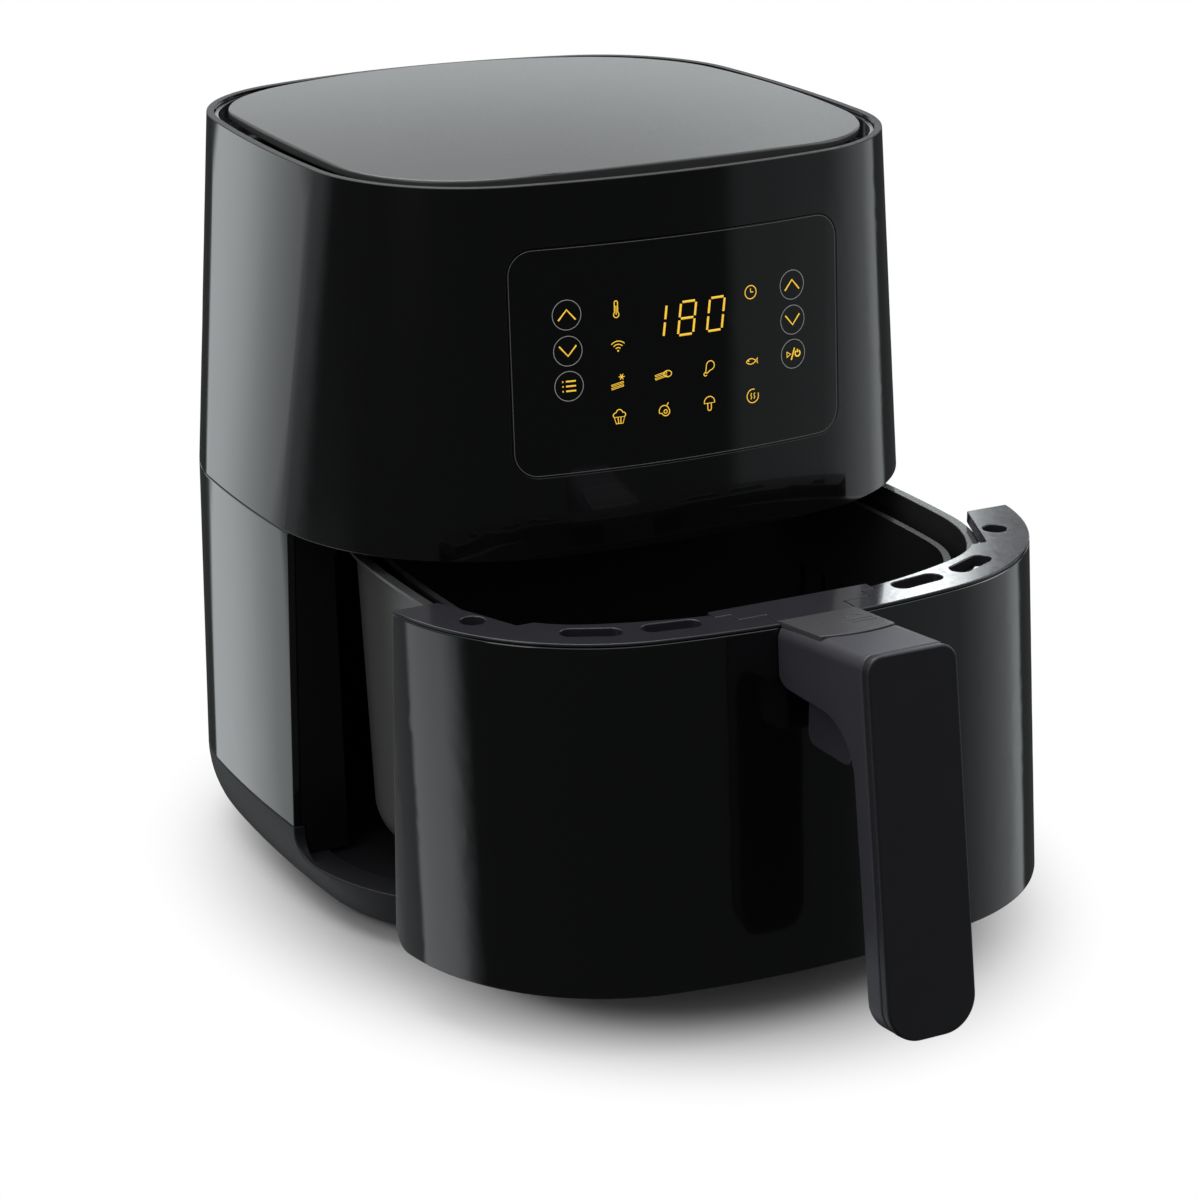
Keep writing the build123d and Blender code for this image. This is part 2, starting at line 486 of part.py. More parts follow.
# Lower casing and drawer well
def lower_casing():
    shape = lower(0) - lower(WALL)
    shape = shape & between(SPLIT_Y, FAR, BASE_TOP + SEAT, SPLIT_TOP)
    return shape - rod_y(0, 0, FAR, CORD_Z, GLAND_R + RUN)


def cord_gland():
    inner = LOW_PLAN.back - WALL
    shape = rod_y(0, inner - SEAT, LOW_PLAN.back, CORD_Z, GLAND_R)
    shape = shape.fuse(rod_y(0, inner - SEAT - WALL, inner - SEAT, CORD_Z, GLAND_FLANGE))
    return shape - rod_y(0, 0, FAR, CORD_Z, CORD_BORE)


def drawer_well():
    bottom = LEDGE_Z + SEAT
    top = DECK_BOTTOM - SEAT
    inner = shrink(WELL_PLAN, WELL_WALL)
    shape = slab(WELL_PLAN, bottom, top) - slab(inner, bottom, top)
    for y in CASING_SCREW_Y:
        for one in well_tab(y):
            shape = shape + one
    rails = slab(inner, RAIL_TOP - RAIL_HEIGHT, RAIL_TOP) - slab(shrink(inner, RAIL_WIDTH), 0, FAR)
    shape = shape + (rails & between(-FAR, inner.back - inner.corner_r, 0, FAR))
    shape = (shape & between(SPLIT_Y, FAR, 0, FAR)) + well_frame()
    for x, y in CASING_SCREWS:
        shape = shape - post(x, y, 0, LEDGE_Z + TAB_HEIGHT, SCREW_R + RUN)
    return shape


def well_frame():
    """The plate round the well's mouth, with room for the pan and for its flange on the rails."""
    plate = lower(WALL + SEAT) & between(SPLIT_Y, SPLIT_Y + WELL_WALL, BASE_TOP, SPLIT_TOP)
    foot = slab(shrink(plan_at(BASE_TOP), WALL + UPSTAND_WALL + 2 * SEAT), LEDGE_Z + SEAT, BASE_TOP)
    plate = plate + (foot & between(SPLIT_Y, SPLIT_Y + WELL_WALL, 0, FAR))
    low, high = PAN_SIDE - PAN_DRAFT + MOUTH_LOW, PAN_SIDE + MOUTH_HIGH
    slot_x, slot_z = PAN_SIDE + RAIL_LAP + MOUTH_SLOT, RAIL_TOP - RAIL_HEIGHT
    half = [(low, FOOT_HEIGHT), (high, slot_z), (slot_x, slot_z), (slot_x, FAR)]
    outline = half + [(-x, z) for x, z in reversed(half)]
    mouth = Face(Wire.make_polygon([Vector(x, SPLIT_Y - WALL, z) for x, z in outline]))
    return plate - Solid.extrude(mouth, Vector(0, WELL_WALL + 2 * WALL, 0))


def well_tab(y):
    """The feet on both sides that screw the well to the base's floor."""
    low, high = FLOOR_Z + SEAT, FLOOR_Z + SEAT + TAB_HEIGHT
    bar = block(TAB_INNER, FAR, y - TAB_HALF, y + TAB_HALF, low, high)
    floor = slab(shrink(plan_at(BASE_TOP), LEDGE_WIDTH + SEAT), low, high)
    reach = slab(shrink(WELL_PLAN, WELL_WALL / 2), LEDGE_Z + SEAT, high)
    return mirrored((bar & floor) + (bar & reach))


# Upper casing, lid and inlet ring
def lens_cut(gap):
    return window(PANEL_HALF + gap, PANEL_BOTTOM - gap, PANEL_TOP + gap, PANEL_CORNER + gap, -FAR, 0)


def upper_casing():
    shape = upper(0) - upper(WALL)
    shape = shape & between(-FAR, FAR, UPPER_BOTTOM, RIM_Z)
    shape = shape - (lens_cut(PANEL_GAP) - upper(LENS))
    ledge = WINDOW_LEDGE
    low, high = PANEL_BOTTOM + ledge, PANEL_TOP - ledge
    shape = shape - window(PANEL_HALF - ledge, low, high, PANEL_CORNER / 2, -FAR, 0)
    half = GRILLE_HALF + SEAT
    return shape - block(-half, half, 0, FAR, GRILLE_BOTTOM - SEAT, GRILLE_TOP + SEAT)


def control_panel():
    return (upper(0) - upper(LENS - RUN)) & lens_cut(0)


def outlet_grille():
    shape = (upper(0) & block(-GRILLE_HALF, GRILLE_HALF, 0, FAR, GRILLE_BOTTOM, GRILLE_TOP)) - upper(WALL)
    pitch = (GRILLE_TOP - GRILLE_BOTTOM) / GRILLE_SLOTS
    for i in range(GRILLE_SLOTS):
        middle = GRILLE_BOTTOM + (i + 0.5) * pitch
        half = GRILLE_HALF - WALL
        shape = shape - block(-half, half, 0, FAR, middle - pitch / 4, middle + pitch / 4)
    return shape


def inlet_ring():
    low = shrink(plan_at(TROUGH_FLOOR), WALL + SEAT)
    high = shrink(RIM_PLAN, WALL + SEAT)
    shape = taper(low, TROUGH_FLOOR, high, RIM_Z)
    shape = shape - slab(shrink(high, TROUGH_WALL), TROUGH_FLOOR + TROUGH_PLATE, FAR)
    shape = shape & between(-FAR, FAR, 0, RIM_Z - RIM_LIP)
    shape = shape - slab(shrink(low, TROUGH_WIDTH), 0, FAR)
    slots = slab(shrink(high, INLET_INSET), 0, FAR)
    slots = slots - slab(shrink(high, INLET_INSET + INLET_SLOT), 0, FAR)
    for y0, y1 in INLET_SPANS:
        shape = shape - (slots & between(y0, y1, 0, TROUGH_FLOOR + TROUGH_PLATE))
    under = lid_dome(LID_SKIN + SEAT)
    for x, y in lid_posts():
        shape = shape + (post(x, y, TROUGH_FLOOR + TROUGH_PLATE / 2, LID_CROWN, LID_POST_R) & under)
    return shape


def lid_posts():
    inset = TROUGH_WIDTH - LID_POST_R
    half = RIM_PLAN.side - inset
    return [(-half, 0), (half, 0), (0, -RIM_PLAN.front + inset), (0, RIM_PLAN.back - inset)]


def lid_dome(drop):
    return Solid.make_sphere(LID_DOME_R).moved(Location((0, FAN_Y, LID_CROWN - LID_DOME_R - drop)))


def top_cover():
    shape = slab(shrink(RIM_PLAN, LID_GAP), LID_BOTTOM, LID_CROWN) & lid_dome(0)
    return shape - (slab(shrink(RIM_PLAN, LID_GAP + LID_SKIN), LID_BOTTOM, LID_CROWN) & lid_dome(LID_SKIN))


# Control electronics
def light_guide():
    front = WALL + SEAT
    half, z0, z1 = BOARD_HALF + GUIDE_RIM, BOARD_BOTTOM - GUIDE_RIM, BOARD_TOP + GUIDE_RIM
    shape = upper(front) & block(-half, half, -FAR, BOARD_Y - SEAT, z0, z1)
    room = DISPLAY_HALF + SEAT
    shape = shape - block(-room, room, -FAR, 0, DISPLAY_BOTTOM - SEAT, DISPLAY_TOP + SEAT)
    shape = shape - block(-ICON_HALF, ICON_HALF, -FAR, 0, ICON_BOTTOM, ICON_TOP)
    for x, z in key_spots():
        shape = shape - rod_y(x, -FAR, 0, z, KEY_R + FIT)
    return shape


def key_spots():
    return [(x, z) for x in (-KEY_X, KEY_X) for z in KEY_Z]


def touch_contacts():
    reach = upper(LENS + SEAT)
    return [rod_y(x, -FAR, BOARD_Y, z, KEY_R) & reach for x, z in key_spots()]


def control_board():
    return block(-BOARD_HALF, BOARD_HALF, BOARD_Y, BOARD_Y + BOARD, BOARD_BOTTOM, BOARD_TOP)


def display_module():
    return block(-DISPLAY_HALF, DISPLAY_HALF, BOARD_Y - DISPLAY_DEPTH, BOARD_Y, DISPLAY_BOTTOM, DISPLAY_TOP)


def power_board():
    z0 = DECK_TOP
    face = POWER_X + BOARD
    shape = block(POWER_X, face, FAN_Y - POWER_HALF, FAN_Y + POWER_HALF, z0, z0 + POWER_HEIGHT)
    for dy, width, dz, depth in POWER_PARTS:
        y, z = FAN_Y + dy, z0 + dz
        shape = shape + block(face, face + depth, y, y + width, z, z + width)
    return shape


def drawer_switch():
    x1, y1, z1 = SWITCH_X + SWITCH_WIDTH, SWITCH_Y + SWITCH_DEPTH, DECK_TOP + SWITCH_HEIGHT
    edge = SWITCH_DEPTH / 3
    lever = block(SWITCH_X, x1, SWITCH_Y + edge, y1 - edge, z1, z1 + SHEET)
    return block(SWITCH_X, x1, SWITCH_Y, y1, DECK_TOP, z1) + lever


# Hot-air unit
def inner_deck():
    shape = slab(shrink(plan_at(DECK_TOP), WALL + FIT), DECK_BOTTOM, DECK_TOP)
    return shape - disc(0, FAR, DECK_HOLE)


def coil_ends():
    """Places of the two upright tails of the heating element."""
    outer = Vector(COIL_OUTER, 0).rotate(Axis.Z, COIL_START)
    inner = Vector(COIL_INNER, 0).rotate(Axis.Z, COIL_START)
    back = Vector(0, 1).rotate(Axis.Z, COIL_START) * -COIL_BEND
    return [p + back + Vector(0, FAN_Y) for p in (outer, inner)]


def chamber_liner():
    shape = disc(DECK_TOP, CHAMBER_TOP, CHAMBER_R)
    shape = shape + disc(DECK_TOP, DECK_TOP + SHEET, CHAMBER_R + CHAMBER_FLANGE)
    shape = shape - disc(DECK_TOP, CHAMBER_TOP - SHEET, CHAMBER_R - SHEET)
    shape = shape - disc(0, FAR, HUB_R + WALL)
    for p in coil_ends():
        shape = shape - post(p.X, p.Y, 0, FAR, BUSH_R)
    return shape - probe_rod(PROBE_R + RUN) - duct_bore()


def duct_bore():
    half = DUCT_HALF - DUCT_WALL
    return block(-half, half, FAN_Y, FAR, DUCT_BOTTOM + DUCT_WALL, DUCT_TOP - DUCT_WALL)


def exhaust_duct():
    end = LOW_PLAN.back - WALL - (DUCT_HALF + GRILLE_HALF) ** 2 / (8 * LOW_PLAN.back_r)
    shape = block(-DUCT_HALF, DUCT_HALF, FAN_Y, end, DUCT_BOTTOM, DUCT_TOP) - duct_bore()
    return (shape - disc(0, FAR, CHAMBER_R + RUN)) & upper(WALL + SEAT)


def heating_element():
    def at(radius, angle, z=COIL_Z):
        return Vector(radius, 0, z - COIL_Z).rotate(Axis.Z, angle) + Vector(0, FAN_Y, COIL_Z)

    def tail(radius):
        flat = at(radius, COIL_START)
        back = Vector(0, 1).rotate(Axis.Z, COIL_START) * -COIL_BEND
        up = Vector(0, 0, COIL_BEND)
        knee = flat + back * math.sin(math.pi / 4) + up * (1 - math.cos(math.pi / 4))
        foot = flat + back + up
        top = Vector(foot.X, foot.Y, COIL_TAIL_TOP)
        return [top, foot, knee, flat]

    top_o, foot_o, knee_o, flat_o = tail(COIL_OUTER)
    top_i, foot_i, knee_i, flat_i = tail(COIL_INNER)
    middle = (COIL_START + COIL_END) / 2
    turn = at((COIL_OUTER + COIL_INNER) / 2, COIL_END)
    turn = turn + Vector(0, (COIL_OUTER - COIL_INNER) / 2).rotate(Axis.Z, COIL_END)
    path = Wire([
        Edge.make_line(top_o, foot_o),
        Edge.make_three_point_arc(foot_o, knee_o, flat_o),
        Edge.make_three_point_arc(flat_o, at(COIL_OUTER, middle), at(COIL_OUTER, COIL_END)),
        Edge.make_three_point_arc(at(COIL_OUTER, COIL_END), turn, at(COIL_INNER, COIL_END)),
        Edge.make_three_point_arc(at(COIL_INNER, COIL_END), at(COIL_INNER, middle), flat_i),
        Edge.make_three_point_arc(flat_i, knee_i, foot_i),
        Edge.make_line(foot_i, top_i),
    ])
    return sweep(Plane(top_o, z_dir=(0, 0, -1)) * Circle(COIL_R), path)


def element_bushings():
    low, high = CHAMBER_TOP - SHEET - BUSH_R, CHAMBER_TOP + BUSH_R / 2
    return [
        post(p.X, p.Y, low, high, BUSH_R - RUN) - post(p.X, p.Y, 0, FAR, COIL_R + RUN)
        for p in coil_ends()
    ]


def element_clips():
    middle = (COIL_OUTER + COIL_INNER) / 2
    foot = COIL_Z - COIL_R - SEAT
    y0, y1 = FAN_Y - CLIP_WIDTH / 2, FAN_Y + CLIP_WIDTH / 2
    reach = COIL_R + CLIP_REACH
    shape = block(middle - SHEET, middle + SHEET, y0, y1, foot - SHEET, CHAMBER_TOP - SHEET)
    shape = shape + block(COIL_INNER - reach, COIL_OUTER + reach, y0, y1, foot - 2 * SHEET, foot)
    return [shape.rotate(FAN_AXIS, angle) for angle in CLIP_ANGLES]


def element_guard():
    """Wire rings that hang under a spider of bars."""
    hub = 3 * GUARD_WIRE
    bar = rod_x(hub / 2, CHAMBER_R - SHEET - SEAT, FAN_Y, GUARD_Z + GUARD_WIRE, GUARD_WIRE)
    spider = disc(GUARD_Z, GUARD_Z + 2 * GUARD_WIRE, hub)
    for one in around(GUARD_BARS, bar):
        spider = spider + one
    high = GUARD_Z - RUN
    low = high - 2 * GUARD_WIRE
    rings = [disc(low, high, r + GUARD_WIRE) - disc(low, high, r - GUARD_WIRE) for r in GUARD_RINGS]
    return [spider, *rings]


def probe_rod(r):
    start = CHAMBER_R - PROBE_LENGTH / 2
    return rod_x(start, start + PROBE_LENGTH, FAN_Y, PROBE_Z, r).rotate(FAN_AXIS, PROBE_ANGLE)


def temperature_probe():
    collar = rod_x(CHAMBER_R + RUN, CHAMBER_R + RUN + WALL, FAN_Y, PROBE_Z, 2 * PROBE_R)
    return probe_rod(PROBE_R) + collar.rotate(FAN_AXIS, PROBE_ANGLE)


def thermal_fuse():
    shape = post(FUSE_X, FUSE_Y, CHAMBER_TOP, CHAMBER_TOP + FUSE_HEIGHT / 2, FUSE_R)
    return shape.fuse(post(FUSE_X, FUSE_Y, CHAMBER_TOP, CHAMBER_TOP + FUSE_HEIGHT, FUSE_R / 2))


def heat_shield():
    shape = disc(SHIELD_Z, SHIELD_Z + SHEET, SHIELD_R) - disc(0, FAR, HUB_R + WALL)
    for p in coil_ends():
        shape = shape - post(p.X, p.Y, 0, FAR, BUSH_R + WALL)
    shape = shape - post(FUSE_X, FUSE_Y, 0, FAR, FUSE_R + WALL)
    leg = post(SHIELD_R - SHIELD_LEG, FAN_Y, CHAMBER_TOP, SHIELD_Z, SHIELD_LEG / 2)
    for one in around(3, leg.rotate(FAN_AXIS, CLIP_ANGLES[-1])):
        shape = shape + one
    return shape


def bracket_spots():
    x, dy = BRACKET_X - BRACKET_FOOT / 2, BRACKET_HALF / 2
    return [(turn * x, y) for turn in (-1, 1) for y in (FAN_Y - dy, FAN_Y + dy)]


def motor_bracket():
    y0, y1 = FAN_Y - BRACKET_HALF, FAN_Y + BRACKET_HALF
    span = BRACKET_X - BRACKET_FOOT
    shape = block(-span, span, y0, y1, BRACKET_Z, BRACKET_Z + BRACKET)
    wall = block(span - BRACKET, span, y0, y1, CHAMBER_TOP, BRACKET_Z)
    foot = block(span, BRACKET_X, y0, y1, CHAMBER_TOP, CHAMBER_TOP + BRACKET)
    for piece in (*mirrored(wall), *mirrored(foot)):
        shape = shape + piece
    shape = shape - disc(0, FAR, BEARING_R + WALL)
    for x, y in bracket_spots():
        shape = shape - post(x, y, 0, FAR, SCREW_R + RUN)
    return shape


def bracket_screws():
    top = CHAMBER_TOP + BRACKET
    return [
        post(x, y, CHAMBER_TOP, top, SCREW_R) + post(x, y, top, top + SCREW_HEAD, SCREW_HEAD_R)
        for x, y in bracket_spots()
    ]


def motor_can():
    shape = disc(MOTOR_Z, MOTOR_TOP, MOTOR_R)
    shape = shape - disc(MOTOR_Z + MOTOR_CAP, MOTOR_TOP - MOTOR_CAP, ROTOR_R + 2 * FIT)
    return shape - disc(0, FAR, BEARING_R + RUN)


def motor_bearings():
    sleeve = disc(MOTOR_Z, MOTOR_Z + MOTOR_CAP, BEARING_R) - disc(0, FAR, SHAFT_R + RUN)
    return [sleeve, sleeve.moved(Location((0, 0, MOTOR_HEIGHT - MOTOR_CAP)))]


def motor_shaft():
    return disc(FAN_Z - NUT, COOL_Z + COOL_HUB, SHAFT_R)


def motor_rotor():
    shape = disc(MOTOR_Z + MOTOR_CAP + FIT, MOTOR_TOP - MOTOR_CAP - FIT, ROTOR_R)
    return shape - disc(0, FAR, SHAFT_R)


def convection_fan():
    back = FAN_Z + FAN_BLADE
    shape = disc(back, back + FAN_SHEET, FAN_R) + disc(FAN_Z, back + FAN_SHEET, HUB_R)
    half = FAN_SHEET / 2
    blade = block(HUB_R - half, FAN_R - FAN_SHEET, FAN_Y - half, FAN_Y + half, FAN_Z + half, back + half)
    for one in around(FAN_BLADES, blade):
        shape = shape + one
    return shape - disc(0, FAR, SHAFT_R)


def fan_nut():
    sketch = Plane((0, FAN_Y, FAN_Z - NUT)) * RegularPolygon(NUT_R, 6)
    return extrude(sketch, NUT) - disc(0, FAR, SHAFT_R)


def cooling_fan():
    shape = disc(COOL_Z, COOL_Z + COOL_HUB, HUB_R + WALL)
    blade = block(HUB_R, COOL_R, FAN_Y - FAN_SHEET, FAN_Y + FAN_SHEET, COOL_Z, COOL_Z + COOL_HUB)
    tilt = Axis((0, FAN_Y, COOL_Z + COOL_HUB / 2), (1, 0, 0))
    room = disc(COOL_Z, COOL_Z + COOL_HUB, COOL_R)
    shape = shape.fuse(*(one & room for one in around(COOL_BLADES, blade.rotate(tilt, BLADE_PITCH))))
    return shape - disc(0, FAR, SHAFT_R)


# Drawer: pan, basket, front and rim
BASKET_SIDE = PAN_SIDE - BASKET_SIDE_GAP
BASKET_PLAN = shrink(PAN_PLAN, BASKET_GAP)._replace(side=BASKET_SIDE, corner_r=BASKET_CORNER_R)
FLANGE_PLAN = shrink(PAN_PLAN, -PAN_FLANGE)._replace(side=PAN_SIDE + RAIL_LAP)
STRAP_Y = front_y(BASKET_PLAN, 0) - FIT
FLANGE_LINE = shrink(PAN_PLAN, -PAN_FLANGE / 2)
RIM_SCREWS = [(turn * x, front_y(FLANGE_LINE, x)) for x in RIM_SCREW_X for turn in (-1, 1)]


def bowl(plan, draft, z0, z1, fillet_r):
    shape = taper(shrink(plan, draft), z0, plan, z1)
    return shape.fillet(fillet_r, [e for e in shape.edges() if abs(e.center().Z - z0) < 0.01])


def pan():
    shape = bowl(PAN_PLAN, PAN_DRAFT, PAN_FLOOR, PAN_TOP, PAN_FILLET)
    shape = shape + slab(FLANGE_PLAN, PAN_TOP - PAN_LIP, PAN_TOP)
    inner = shrink(PAN_PLAN, PAN_WALL)
    shape = shape - bowl(inner, PAN_DRAFT, PAN_FLOOR + PAN_WALL, PAN_TOP, PAN_FILLET - PAN_WALL)
    for x, y in RIM_SCREWS:
        shape = shape - post(x, y, 0, FAR, RIM_SCREW_R + RUN)
    return shape


def hole_grid():
    """Places of the holes in the basket's floor, in staggered rows."""
    rows = int(HOLE_AREA / HOLE_PITCH)
    spots = []
    for j in range(-rows, rows + 1):
        for i in range(-rows, rows + 1):
            x, y = (i + (j % 2) / 2) * HOLE_PITCH, j * HOLE_PITCH * math.sin(math.radians(60))
            if math.hypot(x, y) < HOLE_AREA and not near_foot(x, y):
                spots.append((x, y))
    return spots


def basket():
    shape = bowl(BASKET_PLAN, BASKET_DRAFT, BASKET_FLOOR, BASKET_TOP, BASKET_FILLET)
    shape = shape + slab(shrink(BASKET_PLAN, -BASKET_LIP), BASKET_TOP - BASKET_WALL, BASKET_TOP)
    inner = shrink(BASKET_PLAN, BASKET_WALL)
    floor = BASKET_FLOOR + BASKET_WALL
    shape = shape - bowl(inner, BASKET_DRAFT, floor, BASKET_TOP, BASKET_FILLET - BASKET_WALL)
    for x in (-FOOT_PIN_X, FOOT_PIN_X):
        for y in (-FOOT_PIN_Y, FOOT_PIN_Y):
            shape = shape + post(x, y, PAN_FLOOR + PAN_WALL + SEAT, BASKET_FLOOR, FOOT_PIN_R)
    low, high = BASKET_FLOOR - BASKET_WALL, BASKET_FLOOR + 2 * BASKET_WALL
    holes = [post(x, y, low, high, HOLE_R) for x, y in hole_grid()]
    vent = between(-VENT_WIDTH / 2, VENT_WIDTH / 2, VENT_BOTTOM, VENT_TOP)
    vents = [vent.moved(Location((0, i * VENT_PITCH, 0))) for i in range(-VENT_COUNT, VENT_COUNT + 1)]
    rivets = [rod_y(x, -FAR, 0, z, RIVET_R + RUN) for x, z in rivet_spots()]
    half = ARM_OUTER + SEAT
    strap = block(-half, half, -FAR, STRAP_Y + RUN, BASKET_TOP - BASKET_LIP, FAR)
    return shape.cut(*holes, *vents, *rivets, strap)


def near_foot(x, y):
    return math.hypot(abs(x) - FOOT_PIN_X, abs(y) - FOOT_PIN_Y) < FOOT_PIN_R + HOLE_R


def drawer_front():
    shape = (lower(0) - lower(WALL)) & between(-FAR, DRAWER_BACK, FRONT_BOTTOM, FRONT_TOP)
    shape = shape & front_cut(DRAWER_BACK, FRONT_BOTTOM, FRONT_CORNER)
    return shape - block(-NOTCH_HALF, NOTCH_HALF, -FAR, 0, NOTCH_FLOOR, FAR)


def slot(x, y, angle):
    return extrude(Pos(x, y) * Rot(0, 0, angle) * SlotOverall(SLOT_LENGTH, SLOT_WIDTH), FAR)


def drawer_rim():
    plate = lower(0) & between(-FAR, DRAWER_BACK, FRONT_TOP + SEAT, RIM_TOP)
    skirt = lower(WALL + SEAT) & between(-FAR, DRAWER_BACK, PAN_TOP + SEAT, FRONT_TOP + SEAT)
    shape = plate + skirt - slab(RIM_INNER, 0, FAR)
    knee, tip = (Vector(SEAM_SIDE - inset, depth - SEAM_FRONT) for inset, depth in (WING_KNEE, WING_TIP))
    wing = Vector(WING_INNER, DRAWER_BACK)
    mouth = [Vector(), Vector(WING_INNER, 0), wing, knee, tip, Vector(0, tip.Y)]
    cuts = mirrored(Solid.extrude(Face(Wire.make_polygon(mouth)), Vector(0, 0, FAR)))
    cuts += mirrored(post(RIM_HOLE_X, RIM_HOLE_Y, 0, FAR, RIM_HOLE_R))
    for x, y, angle in SLOT_SPOTS:
        cuts += mirrored(slot(x, y - SEAM_FRONT, angle))
    cuts += [post(x, y, 0, RIM_TOP - WALL / 2, RIM_SCREW_R + RUN) for x, y in RIM_SCREWS]
    cuts += [block(-NOTCH_HALF, NOTCH_HALF, -FAR, 0, 0, FAR), cover_shape(SEAT)]
    for cut in cuts:
        shape = shape - cut
    return shape + rim_bridge()


def rim_bridge():
    """Joins the two halves of the rim under the bracket's arms."""
    half = NOTCH_HALF + BRIDGE_END
    front = front_y(shrink(plan_at(FRONT_TOP), WALL + SEAT), half)
    rear = front_y(shrink(PAN_PLAN, -PAN_FLANGE), 0) - SEAT
    shape = block(-half, half, front, rear, BRIDGE_Z, FRONT_TOP)
    return shape - block(-NOTCH_HALF, NOTCH_HALF, -FAR, 0, ARM_Z - SEAT, FAR)


def rim_screws():
    top = PAN_TOP - PAN_LIP
    head = PAN_LIP
    return [
        post(x, y, top - head, top, 2 * RIM_SCREW_R).fuse(post(x, y, top, RIM_TOP - WALL, RIM_SCREW_R))
        for x, y in RIM_SCREWS
    ]


# Bracket between basket and handle
def cover_shape(gap):
    """The stepped cover over the bracket, grown by a gap."""
    low = ARM_Z + ARM_SHEET + SEAT - gap
    rear = COVER_REAR + gap
    neck = NOTCH_HALF + gap - SEAT
    shape = block(-neck, neck, BUTTON_REAR + FIT, rear, low, RIM_TOP)
    for half, depth in ((COVER_HALF, COVER_STEP), (COVER_HALF - COVER_STEP, 2 * COVER_STEP)):
        shape = shape + block(-half - gap, half + gap, COVER_REAR - depth - gap, rear, low, RIM_TOP)
    return shape


def bracket_cover():
    return cover_shape(0)


def rivet_spots():
    return [(x, RIVET_Z) for x in (-RIVET_X, RIVET_X)]


def handle_bracket():
    leg = block(-ARM_OUTER, ARM_OUTER, STRAP_Y - ARM_SHEET, STRAP_Y, STRAP_BOTTOM, ARM_Z + ARM_SHEET)
    arm = block(ARM_INNER, ARM_OUTER, ARM_FRONT, STRAP_Y, ARM_Z, ARM_Z + ARM_SHEET)
    shape = leg
    for one in mirrored(arm):
        shape = shape + one
    for x, y in arm_screw_spots():
        shape = shape - post(x, y, 0, FAR, SCREW_R + RUN)
    for x, z in rivet_spots():
        shape = shape - rod_y(x, -FAR, 0, z, RIVET_R + RUN)
    return shape


def bracket_rivets():
    """Rivets that hold the bracket to the basket's front wall, with a head at each end."""
    outer = STRAP_Y - ARM_SHEET
    rivets = []
    for x, z in rivet_spots():
        inner = basket_wall_y(x, z) + RUN
        rivet = rod_y(x, outer, inner, z, RIVET_R)
        for y in (outer - RIVET_HEAD, inner):
            rivet = rivet + rod_y(x, y, y + RIVET_HEAD, z, 2 * RIVET_R)
        rivets.append(rivet)
    return rivets


def basket_wall_y(x, z):
    """Rearmost point of the basket's front wall, inside, under a flat rivet head."""
    share = (BASKET_TOP - z + 2 * RIVET_R) / (BASKET_TOP - BASKET_FLOOR)
    return front_y(shrink(BASKET_PLAN, BASKET_WALL + BASKET_DRAFT * share), abs(x) + 2 * RIVET_R)


# Handle
FACE_MIDDLE = Vector(0, (GRIP_TOP_Y + GRIP_FOOT_Y) / 2, (GRIP_TOP_Z + GRIP_FOOT_Z) / 2)
FACE_UP = Vector(0, GRIP_TOP_Y - GRIP_FOOT_Y, GRIP_TOP_Z - GRIP_FOOT_Z).normalized()
FACE_OUT = Vector(0, -FACE_UP.Z, FACE_UP.Y)
ROOT_SLOPE = (GRIP_TOP_Z - ROOT_TOP) / (ROOT_Y - GRIP_TOP_Y)


def grip_point(height, depth):
    """A point on the grip's middle plane: share of its height, and depth behind its front face."""
    return FACE_MIDDLE + FACE_UP * (GRIP_LENGTH * (height - 0.5)) - FACE_OUT * depth


def front_outline():
    """The grip seen square on: rounded corners, larger at the foot."""
    sketch = Rectangle(2 * GRIP_HALF, GRIP_LENGTH)
    corners = sketch.vertices().sort_by(Axis.Y)
    sketch = fillet(corners[:2], GRIP_FOOT_R)
    corners = [v for v in sketch.vertices() if v.Y > GRIP_LENGTH / 2 - 0.01]
    return Plane(FACE_MIDDLE, x_dir=(1, 0, 0), z_dir=FACE_OUT) * fillet(corners, GRIP_TOP_R)


def handle_plate():
    shape = extrude(front_outline(), -GRIP_PLATE)
    face = shape.faces().sort_by(Axis.Y)[0]
    return fillet(face.edges(), PLATE_EDGE)


def side_profile():
    """Root and grip seen from the side."""
    back = GRIP_PLATE + SEAT
    low, high = grip_point(0, GRIP_DEPTH), grip_point(1, GRIP_DEPTH)
    elbow = low + (high - low) * ((ROOT_BOTTOM - low.Z) / (high.Z - low.Z))
    root_top, root_low = Vector(0, ROOT_Y, ROOT_TOP), Vector(0, ROOT_Y, ROOT_BOTTOM)
    places = [root_top, grip_point(1, back), grip_point(0, back), low, elbow, root_low]
    points = [(p.Y, p.Z) for p in places]
    face = Polygon(*points, align=None)
    for (y, z), radius in zip(points[3:], (GRIP_HEEL, ELBOW_R, ROOT_CORNER)):
        face = fillet([v for v in face.vertices() if math.hypot(v.X - y, v.Y - z) < 0.01], radius)
    return Plane.YZ * face


